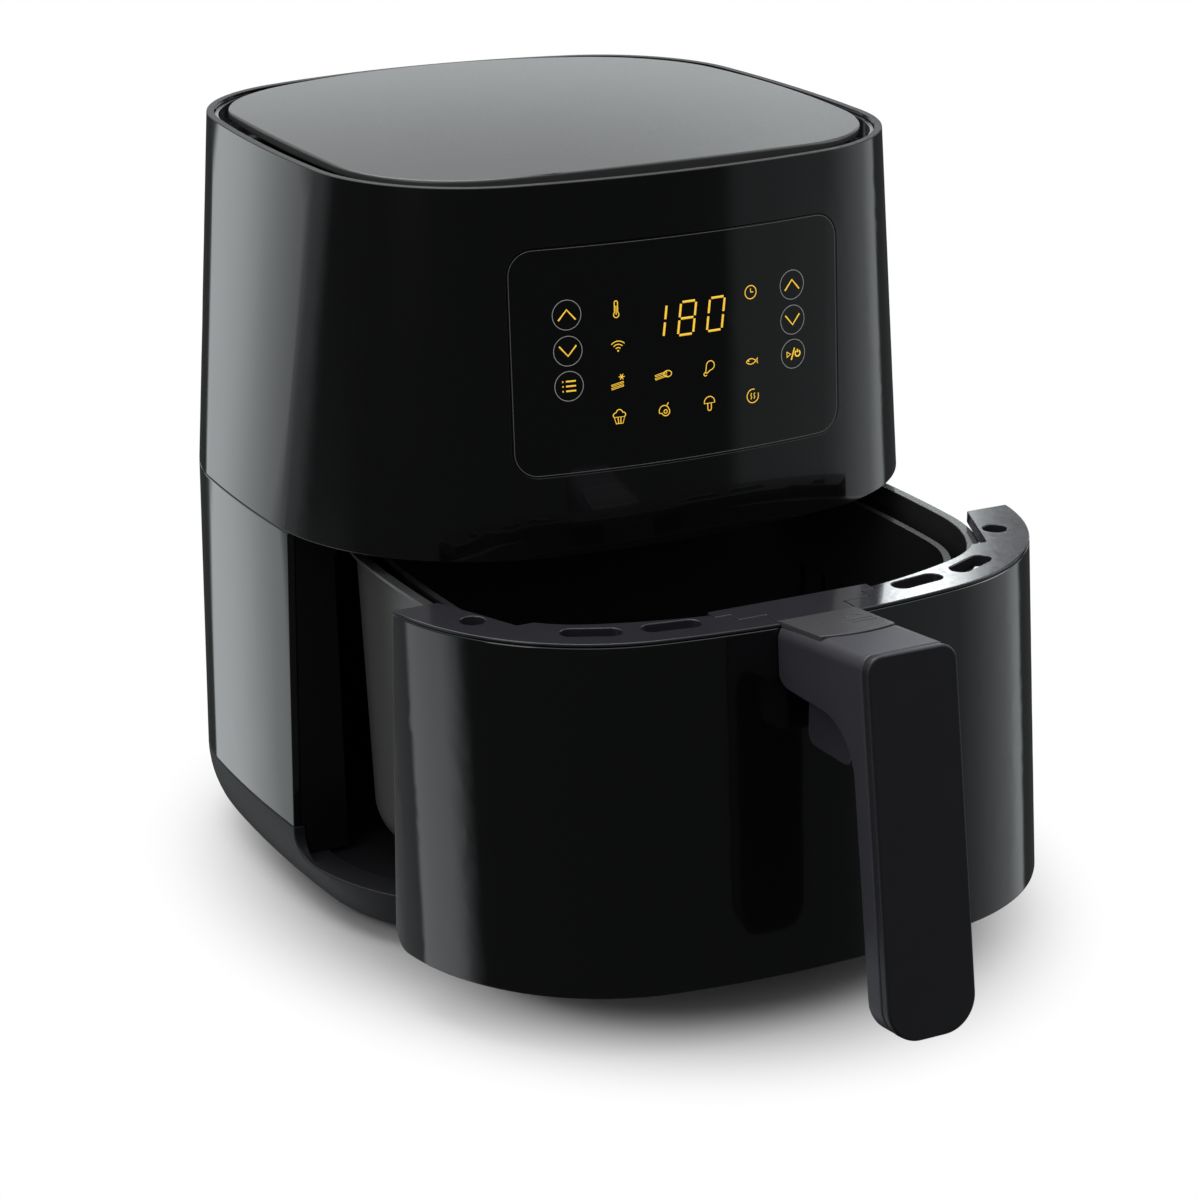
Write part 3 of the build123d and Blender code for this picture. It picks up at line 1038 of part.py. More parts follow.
def handle_grip():
    shape = extrude(side_profile(), ROOT_HALF, both=True)
    tongue = block(-TONGUE_HALF, TONGUE_HALF, TONGUE_FRONT, TONGUE_BACK, TONGUE_BOTTOM, CAVITY_FLOOR)
    tongue = tongue.fillet(TONGUE_R, tongue.edges().filter_by(Axis.X).sort_by(Axis.Z)[:2])
    shape = shape & Solid.extrude(front_outline().face(), Vector(0, 1, -ROOT_SLOPE) * FAR)
    shape = shape + tongue - lower(-SEAT)
    cavity = block(-CAVITY_HALF, CAVITY_HALF, CAVITY_FRONT, 0, CAVITY_FLOOR, FAR)
    mouth = button_plate(FIT, BUTTON_NOSE_GAP, BUTTON_TRAVEL + FIT)
    pad = block(ARM_INNER - SEAT, CAVITY_HALF, CAVITY_FRONT, PAD_REAR, CAVITY_FLOOR, ARM_Z - SEAT)
    shape = shape - (cavity & between(CAVITY_FRONT, FAR, 0, ARM_Z + ARM_SHEET + ARM_HEAD + FIT)) - mouth
    shape = shape - (cavity & between(BUTTON_FRONT + BUTTON_BOW, FAR, 0, FAR))
    for one in mirrored(pad):
        shape = shape + one
    for x, y in arm_screw_spots():
        shape = shape - post(x, y, ARM_Z - PAD_SCREW, ARM_Z, SCREW_R + RUN)
    for y, z in ((BUTTON_PIN_Y, BUTTON_PIN_Z), (LATCH_PIN_Y, LATCH_PIN_Z)):
        shape = shape - rod_x(-PIN_REACH, PIN_REACH, y, z, PIN_R + RUN)
    return shape


def arm_screw_spots():
    middle = (ARM_INNER + ARM_OUTER) / 2
    return [(-middle, STRAP_SCREW_Y), (middle, STRAP_SCREW_Y)]


def handle_screws():
    top = ARM_Z + ARM_SHEET
    return [
        post(x, y, ARM_Z - PAD_SCREW, top, SCREW_R) + post(x, y, top, top + ARM_HEAD, ARM_HEAD_R)
        for x, y in arm_screw_spots()
    ]


# Release button and latch
def root_z(y):
    """Height of the handle's sloping top."""
    return ROOT_TOP + ROOT_SLOPE * (ROOT_Y - y)


def button_plate(gap, nose_gap, drop):
    """The flap on the handle's top, grown by a gap, by another at its nose, and deepened by a drop."""
    rear, front = BUTTON_REAR + gap, BUTTON_FRONT - nose_gap
    half, nose = BUTTON_HALF_REAR + gap, BUTTON_HALF_FRONT + gap
    bow = Vector(0, front - BUTTON_BOW)
    corners = [Vector(nose, front), Vector(half, rear), Vector(-half, rear), Vector(-nose, front)]
    lines = [Edge.make_line(a, b) for a, b in zip(corners, corners[1:])]
    outline = Face(Wire([*lines, Edge.make_three_point_arc(corners[-1], bow, corners[0])]))
    tall = Solid.extrude(outline, Vector(0, 0, FAR))
    y0, y1 = rear + FIT, bow.Y - FIT
    top = [(y, root_z(y) + gap) for y in (y0, y1)]
    under = [(y, root_z(y) - BUTTON_THICK - drop) for y in (y1, y0)]
    return tall & bend(top + under, half)


def release_button():
    shape = button_plate(0, 0, 0)
    under = root_z(BUTTON_PIN_Y) - BUTTON_THICK / 2
    end = LUG_X + LUG_WIDTH
    lug = rod_x(LUG_X, end, BUTTON_PIN_Y, BUTTON_PIN_Z, LUG_R)
    lug = lug + block(LUG_X, end, BUTTON_PIN_Y - LUG_R, BUTTON_PIN_Y + LUG_R, BUTTON_PIN_Z, under)
    for one in mirrored(lug):
        shape = shape + one
    return shape - rod_x(-FAR, FAR, BUTTON_PIN_Y, BUTTON_PIN_Z, PIN_R + RUN)


def button_pin():
    return rod_x(-PIN_REACH, PIN_REACH, BUTTON_PIN_Y, BUTTON_PIN_Z, PIN_R)


def latch_pin():
    return rod_x(-PIN_REACH, PIN_REACH, LATCH_PIN_Y, LATCH_PIN_Z, PIN_R)


def latch_lever():
    bar_z = NOTCH_FLOOR + FIT
    inside = front_y(shrink(plan_at(NOTCH_FLOOR), WALL + FIT), LATCH_HALF)
    nose_end = inside + LATCH_BAR
    top_y = LATCH_PAD_Y
    top_z = root_z(top_y) - BUTTON_THICK - FIT
    shape = rod_x(-LATCH_HALF, LATCH_HALF, LATCH_PIN_Y, LATCH_PIN_Z, LATCH_HUB)
    shape = shape + block(-LATCH_HALF, LATCH_HALF, LATCH_PIN_Y, nose_end, bar_z, bar_z + LATCH_BAR)
    shape = shape + block(-LATCH_HALF, LATCH_HALF, inside, nose_end, bar_z - LATCH_NOSE, bar_z + LATCH_BAR)
    root = [(LATCH_PIN_Y, LATCH_PIN_Z + LATCH_HUB), (LATCH_PIN_Y - LATCH_HUB, LATCH_PIN_Z)]
    shape = shape + bend(root + [(top_y - LATCH_BAR, top_z), (top_y, top_z)], LATCH_HALF)
    return shape - rod_x(-FAR, FAR, LATCH_PIN_Y, LATCH_PIN_Z, PIN_R + RUN)


def button_spring():
    """A folded leaf that stands on the cavity's floor beside the latch and carries the flap's front."""
    z0, z1 = CAVITY_FLOOR + SEAT, root_z(SPRING_FRONT) - BUTTON_THICK - SEAT
    t = SPRING_SHEET
    foot = [(SPRING_REAR, z0), (SPRING_FRONT, z0), (SPRING_FRONT, z0 + t), (SPRING_REAR - 2 * t, z0 + t)]
    leaf = foot + [(SPRING_FRONT, z1), (SPRING_FRONT + t, z1)]
    return bend(leaf, SPRING_HALF).moved(Location((SPRING_X, 0, 0)))


HOUSING = (
    base, rubber_feet, glide_strips, casing_screws, lower_casing, cord_gland, drawer_well, upper_casing,
    control_panel, outlet_grille, inlet_ring, top_cover, light_guide, touch_contacts, control_board,
    display_module, power_board, drawer_switch, inner_deck, chamber_liner, exhaust_duct,
    heating_element, element_bushings, element_clips, element_guard, temperature_probe, thermal_fuse,
    heat_shield, motor_bracket, bracket_screws, motor_can, motor_bearings, motor_shaft, motor_rotor,
    convection_fan, fan_nut, cooling_fan,
)
DRAWER = (
    pan, basket, drawer_front, drawer_rim, rim_screws, bracket_cover, handle_bracket, bracket_rivets,
    handle_plate, handle_grip, handle_screws, release_button, button_pin, latch_pin, latch_lever,
    button_spring,
)
for piece in HOUSING:
    save(piece.__name__, piece())
for piece in DRAWER:
    save(piece.__name__, piece(), drawer=True)
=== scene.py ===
import json
import math

import bmesh
import bpy
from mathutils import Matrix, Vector
from mathutils.bvhtree import BVHTree
from mathutils.interpolate import poly_3d_calc

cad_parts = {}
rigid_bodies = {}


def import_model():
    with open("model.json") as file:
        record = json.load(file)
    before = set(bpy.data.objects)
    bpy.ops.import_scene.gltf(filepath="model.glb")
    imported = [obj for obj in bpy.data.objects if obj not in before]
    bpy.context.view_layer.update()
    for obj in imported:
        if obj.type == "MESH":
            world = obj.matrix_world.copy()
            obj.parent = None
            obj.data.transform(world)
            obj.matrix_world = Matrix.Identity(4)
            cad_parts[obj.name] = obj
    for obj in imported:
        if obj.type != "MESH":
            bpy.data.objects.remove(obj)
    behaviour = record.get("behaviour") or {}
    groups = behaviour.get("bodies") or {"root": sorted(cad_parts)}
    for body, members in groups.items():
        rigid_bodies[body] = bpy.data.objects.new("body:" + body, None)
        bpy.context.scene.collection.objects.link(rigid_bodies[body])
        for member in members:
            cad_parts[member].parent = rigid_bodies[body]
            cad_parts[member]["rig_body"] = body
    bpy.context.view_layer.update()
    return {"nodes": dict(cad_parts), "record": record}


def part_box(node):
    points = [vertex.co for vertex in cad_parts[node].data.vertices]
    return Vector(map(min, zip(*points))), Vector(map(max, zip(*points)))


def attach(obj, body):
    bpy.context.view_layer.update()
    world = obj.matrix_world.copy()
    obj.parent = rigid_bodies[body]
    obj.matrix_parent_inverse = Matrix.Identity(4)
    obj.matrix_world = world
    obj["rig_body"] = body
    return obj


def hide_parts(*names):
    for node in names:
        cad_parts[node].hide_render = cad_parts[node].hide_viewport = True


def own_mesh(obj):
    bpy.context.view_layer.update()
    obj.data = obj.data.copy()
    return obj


# Drawer air fryer: finishes, rounded edges, the touch panel's symbols, studio light and camera. Metres.

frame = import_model()
nodes = frame["nodes"]
MM = 0.001

# Sockets of a Mix node that mixes colours
MIX_FACTOR = 0
MIX_FIRST = 6
MIX_SECOND = 7
MIX_COLOUR = 2


class Term:
    """A socket that takes part in sums."""

    def __init__(self, tree, socket):
        self.tree = tree
        self.socket = socket

    def __add__(self, other):
        return calculated(self.tree, "ADD", self, other)

    def __sub__(self, other):
        return calculated(self.tree, "SUBTRACT", self, other)

    def __rsub__(self, other):
        return calculated(self.tree, "SUBTRACT", other, self)

    def __mul__(self, other):
        return calculated(self.tree, "MULTIPLY", self, other)

    __radd__ = __add__
    __rmul__ = __mul__


def plug(tree, slot, value):
    """Links a term or socket to an input, or sets the input to a plain value."""
    if isinstance(value, Term):
        tree.links.new(value.socket, slot)
    elif isinstance(value, bpy.types.NodeSocket):
        tree.links.new(value, slot)
    else:
        slot.default_value = value


def calculated(tree, operation, *values):
    """A Math node on terms or plain values."""
    node = tree.nodes.new("ShaderNodeMath")
    node.operation = operation
    for slot, value in zip(node.inputs, values):
        plug(tree, slot, value)
    return Term(tree, node.outputs[0])


class Graph:
    """A node tree with one way to add nodes."""

    def __init__(self, tree):
        self.tree = tree

    def node(self, kind, settings=None, inputs=None):
        made = self.tree.nodes.new("ShaderNode" + kind)
        for name, value in (settings or {}).items():
            setattr(made, name, value)
        for name, value in (inputs or {}).items():
            plug(self.tree, made.inputs[name], value)
        return made

    def term(self, socket):
        return Term(self.tree, socket)

    def smooth(self, value, low, high):
        """0 below low and 1 above high, with a soft step between."""
        inputs = {"Value": value, "From Min": low, "From Max": high}
        step = self.node("MapRange", {"interpolation_type": "SMOOTHSTEP"}, inputs)
        return self.term(step.outputs["Result"])

    def mix(self, factor, first, second):
        """A colour between two, by a factor."""
        inputs = {MIX_FACTOR: factor, MIX_FIRST: (*first, 1.0), MIX_SECOND: (*second, 1.0)}
        return self.node("Mix", {"data_type": "RGBA"}, inputs).outputs[MIX_COLOUR]


class Finish(Graph):
    """A material on one Principled shader, with patterns on Object coordinates."""

    def __init__(self, name, color, **constants):
        self.material = bpy.data.materials.new(name)
        self.material.use_nodes = True
        super().__init__(self.material.node_tree)
        self.shader = self.tree.nodes["Principled BSDF"]
        self.set("Base Color", (*color, 1.0))
        for socket, value in constants.items():
            self.set(socket.replace("_", " ").title().replace("Ior", "IOR"), value)

    def set(self, socket, value):
        plug(self.tree, self.shader.inputs[socket], value)

    def noise(self, per_metre, detail=2.0):
        place = self.node("TexCoord").outputs["Object"]
        inputs = {"Vector": place, "Scale": per_metre, "Detail": detail}
        return self.term(self.node("TexNoise", None, inputs).outputs["Fac"])

    def rough(self, smoothest, spread, per_metre, detail=2.0):
        """Roughness that drifts up from its smoothest."""
        self.set("Roughness", smoothest + self.noise(per_metre, detail) * spread)

    def grain(self, per_metre, height):
        """A fine moulded texture as bump."""
        inputs = {"Height": self.noise(per_metre), "Distance": height, "Strength": 1.0}
        self.set("Normal", self.node("Bump", None, inputs).outputs["Normal"])

    def mottle(self, dark, pale, per_metre):
        """Base colour that drifts between two tones."""
        self.set("Base Color", self.mix(self.noise(per_metre), dark, pale))


# Finishes
def grey(level, tint=0.0):
    """A grey whose blue is raised by the tint."""
    return (level, level, level * (1 + tint))


def gloss_black():
    finish = Finish("gloss_black", grey(0.0035, 0.15), coat_weight=1.0, coat_roughness=0.03, coat_ior=1.5)
    finish.rough(0.1, spread=0.06, per_metre=30.0, detail=4.0)
    finish.grain(per_metre=700.0, height=0.004 * MM)
    return finish.material


def panel_black():
    finish = Finish("panel_black", grey(0.002), coat_weight=1.0, coat_roughness=0.02, coat_ior=1.5)
    finish.rough(0.06, spread=0.04, per_metre=40.0, detail=3.0)
    return finish.material


def lid_grey():
    finish = Finish("lid_grey", grey(0.06), ior=1.5)
    finish.mottle(grey(0.055), grey(0.065), per_metre=60.0)
    finish.rough(0.3, spread=0.08, per_metre=900.0)
    finish.grain(per_metre=2500.0, height=0.012 * MM)
    return finish.material


def matte(name, level, tint, roughness, per_metre=2200.0, height=0.02 * MM):
    """Moulded plastic with a fine spark-eroded grain."""
    finish = Finish(name, grey(level, tint), ior=1.46)
    finish.mottle(grey(level * 0.9, tint), grey(level * 1.1, tint), per_metre=90.0)
    finish.rough(roughness - 0.05, spread=0.1, per_metre=500.0)
    finish.grain(per_metre, height)
    return finish.material


def coated_steel(name, level, roughness):
    finish = Finish(name, grey(level), ior=1.5)
    finish.mottle(grey(level * 0.8), grey(level * 1.2), per_metre=700.0)
    finish.rough(roughness, spread=0.1, per_metre=1200.0)
    finish.grain(per_metre=1500.0, height=0.004 * MM)
    return finish.material


def metal(name, level, roughness):
    finish = Finish(name, grey(level), metallic=1.0)
    finish.rough(roughness - 0.05, spread=0.12, per_metre=350.0, detail=4.0)
    finish.grain(per_metre=900.0, height=0.005 * MM)
    return finish.material


def plain(name, color, roughness):
    finish = Finish(name, color)
    finish.rough(roughness - 0.05, spread=0.1, per_metre=300.0)
    finish.grain(per_metre=800.0, height=0.01 * MM)
    return finish.material


def glowing(name, color, strength):
    finish = Finish(name, color, emission_strength=strength)
    finish.rough(0.3, spread=0.1, per_metre=120.0)
    finish.set("Emission Color", (*color, 1.0))
    return finish.material


GLOSS = gloss_black()
PANEL = panel_black()
LID = lid_grey()
BASE = matte("base_black", level=0.011, tint=0.2, roughness=0.5)
# Darker copy of the matte plastic for the drawer well: painted shade in the recess
WELL_PAINTED_SHADE = matte("well_painted_shade", level=0.004, tint=0.05, roughness=0.4)
RIM = matte("rim_black", level=0.026, tint=0.2, roughness=0.1, per_metre=1500.0, height=0.002 * MM)
LIP = matte("lip_black", level=0.006, tint=0.0, roughness=0.5)
HANDLE = matte("handle_black", level=0.047, tint=0.22, roughness=0.42)
# Darker copy of the handle plastic for the front plate: painted shade on the face that looks forward, away
# from the light
PLATE_PAINTED_SHADE = matte("plate_painted_shade", level=0.018, tint=0.25, roughness=0.42)
# Lighter grey for the release flap and its mark: a painted sheen standing in for the reflection on the
# flap's glossy top
FLAP_PAINTED_SHEEN = matte("flap_painted_sheen", level=0.072, tint=0.06, roughness=0.25)
RUBBER = matte("foot_rubber", level=0.03, tint=0.0, roughness=0.7)
COATED = coated_steel("coated_steel", level=0.04, roughness=0.2)
# Lighter copy of the coated steel for the pan's outside walls: painted light standing in for the reflection
# on them
PAN_OUTSIDE_PAINTED_LIGHT = coated_steel("pan_outside_painted_light", level=0.13, roughness=0.25)
BASKET = coated_steel("basket_coating", level=0.02, roughness=0.32)
STEEL = metal("bare_steel", level=0.5, roughness=0.32)
FASTENER = metal("fastener_steel", level=0.42, roughness=0.28)
LINER = metal("liner_metal", level=0.6, roughness=0.4)
ELEMENT = metal("element_steel", level=0.16, roughness=0.45)
BRONZE = plain("bronze", (0.4, 0.26, 0.12), roughness=0.4)
BOARD = plain("board_green", (0.02, 0.1, 0.04), roughness=0.45)
GUIDE = plain("guide_white", grey(0.75), roughness=0.5)
CONTACT = plain("contact_grey", grey(0.25), roughness=0.6)
BUSH = plain("bush_white", (0.72, 0.7, 0.64), roughness=0.55)
AMBER = glowing("amber_light", (0.92, 0.56, 0.05), strength=0.75)
# Faint glow on the grey key rings: painted light on printed rings, which are no lamp
KEY_RING_PAINTED_GLOW = glowing("key_ring_painted_glow", grey(0.35), strength=0.4)
# Faint glow on the panel's outline: a painted highlight along its edge
OUTLINE_PAINTED_HIGHLIGHT = glowing("outline_painted_highlight", grey(0.12), strength=0.25)

SLOT_FINISH = {
    "gloss_black": GLOSS, "panel_black": PANEL, "lid_grey": LID, "base_black": BASE, "rim_black": RIM,
    "handle_black": HANDLE, "foot_rubber": RUBBER, "coated_steel": COATED, "bare_steel": STEEL,
    "fastener_steel": FASTENER, "liner_metal": LINER, "element_steel": ELEMENT, "bronze": BRONZE,
    "board_green": BOARD, "guide_white": GUIDE, "contact_grey": CONTACT, "bush_white": BUSH,
}
OWN_FINISH = {"handle_plate": PLATE_PAINTED_SHADE, "drawer_well": WELL_PAINTED_SHADE, "release_button": FLAP_PAINTED_SHEEN, "basket": BASKET}
SLOT = {part["node"]: part["material_slot"] for part in frame["record"]["subparts"]}


def paint(piece, material):
    piece.data.materials.clear()
    piece.data.materials.append(material)


for name, node in nodes.items():
    paint(node, OWN_FINISH.get(name, SLOT_FINISH[SLOT[name]]))

# Rounded edges, with their widths in millimetres
WELD = 0.002 * MM
ON_SURFACE = 0.03 * MM
FLAT = math.radians(0.3)
SHARP = math.radians(28)
HARD = math.cos(math.radians(50))
ROUNDED = {
    "base": 0.8, "lower_casing": 0.5, "upper_casing": 0.35, "inlet_ring": 0.4, "top_cover": 1.0,
    "drawer_front": 0.6, "drawer_rim": 0.5, "bracket_cover": 0.4, "handle_grip": 1.0, "release_button": 0.5,
    "pan": 0.4, "outlet_grille": 0.4, "cord_gland": 0.5, "rubber_feet": 0.8,
}


class Surface:
    """The exact surface of a node, to find points and normals on."""

    def __init__(self, node):
        mesh = nodes[node].data
        mesh.calc_loop_triangles()
        self.points = [v.co.copy() for v in mesh.vertices]
        self.triangles = [tuple(t.vertices) for t in mesh.loop_triangles]
        self.corners = [[mesh.corner_normals[i].vector.copy() for i in t.loops] for t in mesh.loop_triangles]
        self.tree = BVHTree.FromPolygons(self.points, self.triangles)

    def normal(self, point):
        """The smooth normal at a point on the surface, or None off it."""
        place, _, index, away = self.tree.find_nearest(point)
        if away > ON_SURFACE:
            return None
        weights = poly_3d_calc([self.points[v] for v in self.triangles[index]], place)
        return sum((c * w for c, w in zip(self.corners[index], weights)), Vector()).normalized()

    def ahead(self, start, direction):
        """The first point that a ray meets."""
        return self.tree.ray_cast(Vector(start), Vector(direction))[0]


def softened(node, width):
    """A welded copy of a node with its sharp edges rounded, shaded by the exact surface."""
    surface = Surface(node)
    mesh = nodes[node].data.copy()
    shape = bmesh.new()
    shape.from_mesh(mesh)
    bmesh.ops.remove_doubles(shape, verts=shape.verts, dist=WELD)
    bmesh.ops.dissolve_limit(shape, angle_limit=FLAT, verts=shape.verts, edges=shape.edges)
    sharp = [e for e in shape.edges if e.is_manifold and e.calc_face_angle() > SHARP]
    bmesh.ops.bevel(
        shape, geom=sharp, offset=width, offset_type="OFFSET", segments=3, profile=0.5,
        affect="EDGES", material=-1, clamp_overlap=False, miter_outer="ARC",
    )
    for face in shape.faces:
        face.smooth = True
    shape.to_mesh(mesh)
    shape.free()
    smooth = [surface.normal(v.co) or v.normal.copy() for v in mesh.vertices]
    normals = []
    for face in mesh.polygons:
        flat = face.normal.copy()
        normals += [smooth[i] if smooth[i].dot(flat) > HARD else flat for i in face.vertices]
    mesh.normals_split_custom_set(normals)
    piece = bpy.data.objects.new(node + "_moulded", mesh)
    bpy.context.scene.collection.objects.link(piece)
    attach(piece, nodes[node]["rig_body"])
    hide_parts(node)
    return piece


for name, width in ROUNDED.items():
    softened(name, width * MM)

# Spring under the flap, with rounded edges and a mesh of its own
SPRING_ROUND = 0.1
spring = softened("button_spring", SPRING_ROUND * MM)
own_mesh(spring)

# Second finishes on the casing's lip, and on the pan's outside walls a lighter copy of the coated steel,
# painted light that stands in for the reflection on those walls
LIP_DEPTH = 2 * MM
LIP_FACES_UP = 0.2
PAN_WALL_UPRIGHT = 0.5
lip_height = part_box("upper_casing")[1].z - LIP_DEPTH
pan_middle = sum(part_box("pan"), Vector()) / 2


def repaint(node, material, wanted):
    """A second finish on the faces of a moulded piece that are wanted."""
    piece = bpy.data.objects[node + "_moulded"]
    piece.data.materials.append(material)
    for face in piece.data.polygons:
        if wanted(face):
            face.material_index = 1


def on_lip(face):
    """True on the top of the upper casing's edge."""
    return face.center.z > lip_height and face.normal.z > LIP_FACES_UP


def faces_out(face):
    """True on the upright walls of the pan that look away from its middle."""
    return abs(face.normal.z) < PAN_WALL_UPRIGHT and face.normal.dot(face.center - pan_middle) > 0


repaint("upper_casing", LIP, on_lip)
# The pan's outward walls take the lighter copy, painted light
repaint("pan", PAN_OUTSIDE_PAINTED_LIGHT, faces_out)

# Symbols on the touch panel, drawn in millimetres
CLOSED = 0.01
AHEAD = 50 * MM
PANEL_FACE = Surface("control_panel")
PANEL_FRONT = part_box("control_panel")[0].y - AHEAD
SYMBOL_RELIEF = 0.4
SYMBOL_LINE = 0.4
KEY_MARK_LINE = 0.65
DIGIT_LINE = 0.95
KEY_RING_LINE = 0.25


def arc(x, z, radius, start, end, steps=14, squeeze=1.0):
    """Points on an arc, angles in degrees."""
    turns = [math.radians(start + (end - start) * i / steps) for i in range(steps + 1)]
    return [(x + radius * math.cos(t), z + radius * squeeze * math.sin(t)) for t in turns]


def drawn(name, strokes, thick, material, body, drop):
    """Strokes as round lines, laid on a surface by a drop function that takes a flat point."""
    curve = bpy.data.curves.new(name, "CURVE")
    curve.dimensions = "3D"
    curve.bevel_depth = thick / 2 * MM
    curve.bevel_resolution = 1
    curve.use_fill_caps = True
    for points in strokes:
        closed = math.dist(points[0], points[-1]) < CLOSED
        line = curve.splines.new("POLY")
        used = points[:-1] if closed else points
        line.points.add(len(used) - 1)
        line.use_cyclic_u = closed
        for place, (x, z) in zip(line.points, used):
            place.co = (x * MM, 0, z * MM, 1)
    draft = bpy.data.objects.new(name + "_draft", curve)
    mesh = bpy.data.meshes.new_from_object(draft)
    bpy.data.objects.remove(draft)
    for vertex in mesh.vertices:
        vertex.co = drop(vertex.co)
    mesh.shade_smooth()
    piece = bpy.data.objects.new(name, mesh)
    bpy.context.scene.collection.objects.link(piece)
    paint(piece, material)
    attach(piece, body)


def on_panel(point):
    hit = PANEL_FACE.ahead((point.x, PANEL_FRONT, point.z), (0, 1, 0))
    return Vector((point.x, hit.y + point.y * SYMBOL_RELIEF, point.z))


def shifted(strokes, x, z, size=1.0):
    """Strokes scaled about their middle and moved to a place."""
    return [[(px * size + x, pz * size + z) for px, pz in points] for points in strokes]


def divided(points, longest):
    """The same line with no stretch longer than given, so that it follows a curved face."""
    line = points[:1]
    for (ax, az), (bx, bz) in zip(points, points[1:]):
        parts = math.ceil(math.dist((ax, az), (bx, bz)) / longest)
        line += [(ax + (bx - ax) * i / parts, az + (bz - az) * i / parts) for i in range(1, parts + 1)]
    return line


ICON_SIZE = 0.86
KEY_RADIUS = 5.5
KEY_LEFT = -47.3
KEY_RIGHT = 47.7
KEY_ROWS = (243.0, 229.7, 216.7)
UP = [[(-3.3, -1.9), (0, 1.9), (3.3, -1.9)]]
DOWN = [[(-3.3, 1.9), (0, -1.9), (3.3, 1.9)]]
LIST_ROWS = (-1.8, 0, 1.8)
LIST = [[(-1.2, z), (2.6, z)] for z in LIST_ROWS] + [[(-2.6, z), (-2.2, z)] for z in LIST_ROWS]
POWER = [
    [(-2.9, -1.0), (-1.2, 0.0), (-2.9, 1.0), (-2.9, -1.0)],
    [(-0.9, -2.2), (0.7, 2.2)],
    arc(2.1, -0.1, 1.15, 125, 415),
    [(2.1, 0.3), (2.1, 1.5)],
]
THERMOMETER = [
    [(-0.75, -1.3), (-0.75, 2.9), *arc(0, 2.9, 0.75, 180, 0, 6), (0.75, -1.3)],
    arc(0, -2.3, 1.25, 53, -233),
    [(0, -2.3), (0, 1.6)],
]
SIGNAL = [arc(0, -1.6, r, 45, 135) for r in (1.5, 2.9, 4.3)] + [arc(0, -1.5, 0.25, 0, 360, 6)]
CLOCK = [arc(0, 0, 2.9, 0, 360, 24), [(0, 1.7), (0, 0), (1.3, 0)]]
WARM = [arc(0, 0, 3.0, 70, 380, 22)] + [
    [(x - 0.25, -1.3), (x + 0.25, -0.4), (x - 0.25, 0.5), (x + 0.25, 1.3)] for x in (-0.8, 0.8)
]
CUPCAKE = [
    [(-2.4, -0.2), (-1.6, -3.0), (1.6, -3.0), (2.4, -0.2), (-2.4, -0.2)],
    [*arc(-1.9, 0.7, 1.0, 250, 90, 6), *arc(0, 1.6, 1.5, 170, 10, 8), *arc(1.9, 0.7, 1.0, 90, -70, 6)],
    [(-0.7, -0.4), (-0.5, -2.8)],
    [(0.7, -0.4), (0.5, -2.8)],
]
FRY = [(-3.2, -0.6), (2.2, 0.5), (2.4, -0.1), (-3.0, -1.2), (-3.2, -0.6)]
FRIES = shifted([FRY], 0, -0.8) + shifted([FRY], 0, -2.2)
FLAKE_TURNS = (0, math.pi / 3, 2 * math.pi / 3)
FLAKE = [[(math.cos(t), math.sin(t)), (-math.cos(t), -math.sin(t))] for t in FLAKE_TURNS]
FROZEN = FRIES + shifted(FLAKE, 1.6, 1.8, 1.3)
POTATO = [arc(2.0, 0.1, 1.9, 0, 360, 16, 0.72)] + shifted(FRIES, -0.8, 1.4)
MEAT = [
    [*arc(-0.2, -0.6, 2.4, 200, 20, 12), *arc(0.6, -0.9, 1.9, 10, -160, 12), (-2.45, -1.4)],
    arc(0.5, -0.9, 0.8, 0, 360, 10),
    [(1.2, 1.7), (2.0, 2.9)],
]
DRUMSTICK = [
    [*arc(0.9, 1.0, 2.0, -90, 180, 14), (-1.5, -1.7)],
    [(0.9, -1.0), (-0.9, -2.3)],
    arc(-1.7, -2.6, 0.75, 30, 330, 10),
]
MUSHROOM = [
    [*arc(0, 0.3, 2.6, 0, 180, 14), (-2.6, 0.0), (2.6, 0.0), (2.6, 0.3)],
    [(-0.9, 0.0), (-0.9, -2.4), *arc(0, -2.4, 0.9, 180, 360, 6), (0.9, 0.0)],
]
FISH = [
    [
        *arc(-0.6, -1.9, 3.1, 140, 40, 10), (3.0, 1.3), (2.6, 0), (3.0, -1.3),
        *arc(-0.6, 1.9, 3.1, 320, 220, 10),
    ],
    arc(-1.8, 0.3, 0.2, 0, 360, 6),
]
ICONS = (
    (THERMOMETER, -28.0, 243.2), (SIGNAL, -27.7, 229.1), (FROZEN, -28.0, 216.5), (CUPCAKE, -28.0, 203.3),
    (POTATO, -9.6, 216.9), (MEAT, -9.6, 203.7), (DRUMSTICK, 9.5, 216.9), (MUSHROOM, 9.5, 203.6),
    (CLOCK, 28.7, 242.8), (FISH, 28.7, 216.7), (WARM, 28.7, 203.5),
)
KEYS = (
    (UP, KEY_LEFT, KEY_ROWS[0]), (DOWN, KEY_LEFT, KEY_ROWS[1]), (LIST, KEY_LEFT, KEY_ROWS[2]),
    (UP, KEY_RIGHT, KEY_ROWS[0]), (DOWN, KEY_RIGHT, KEY_ROWS[1]), (POWER, KEY_RIGHT, KEY_ROWS[2]),
)

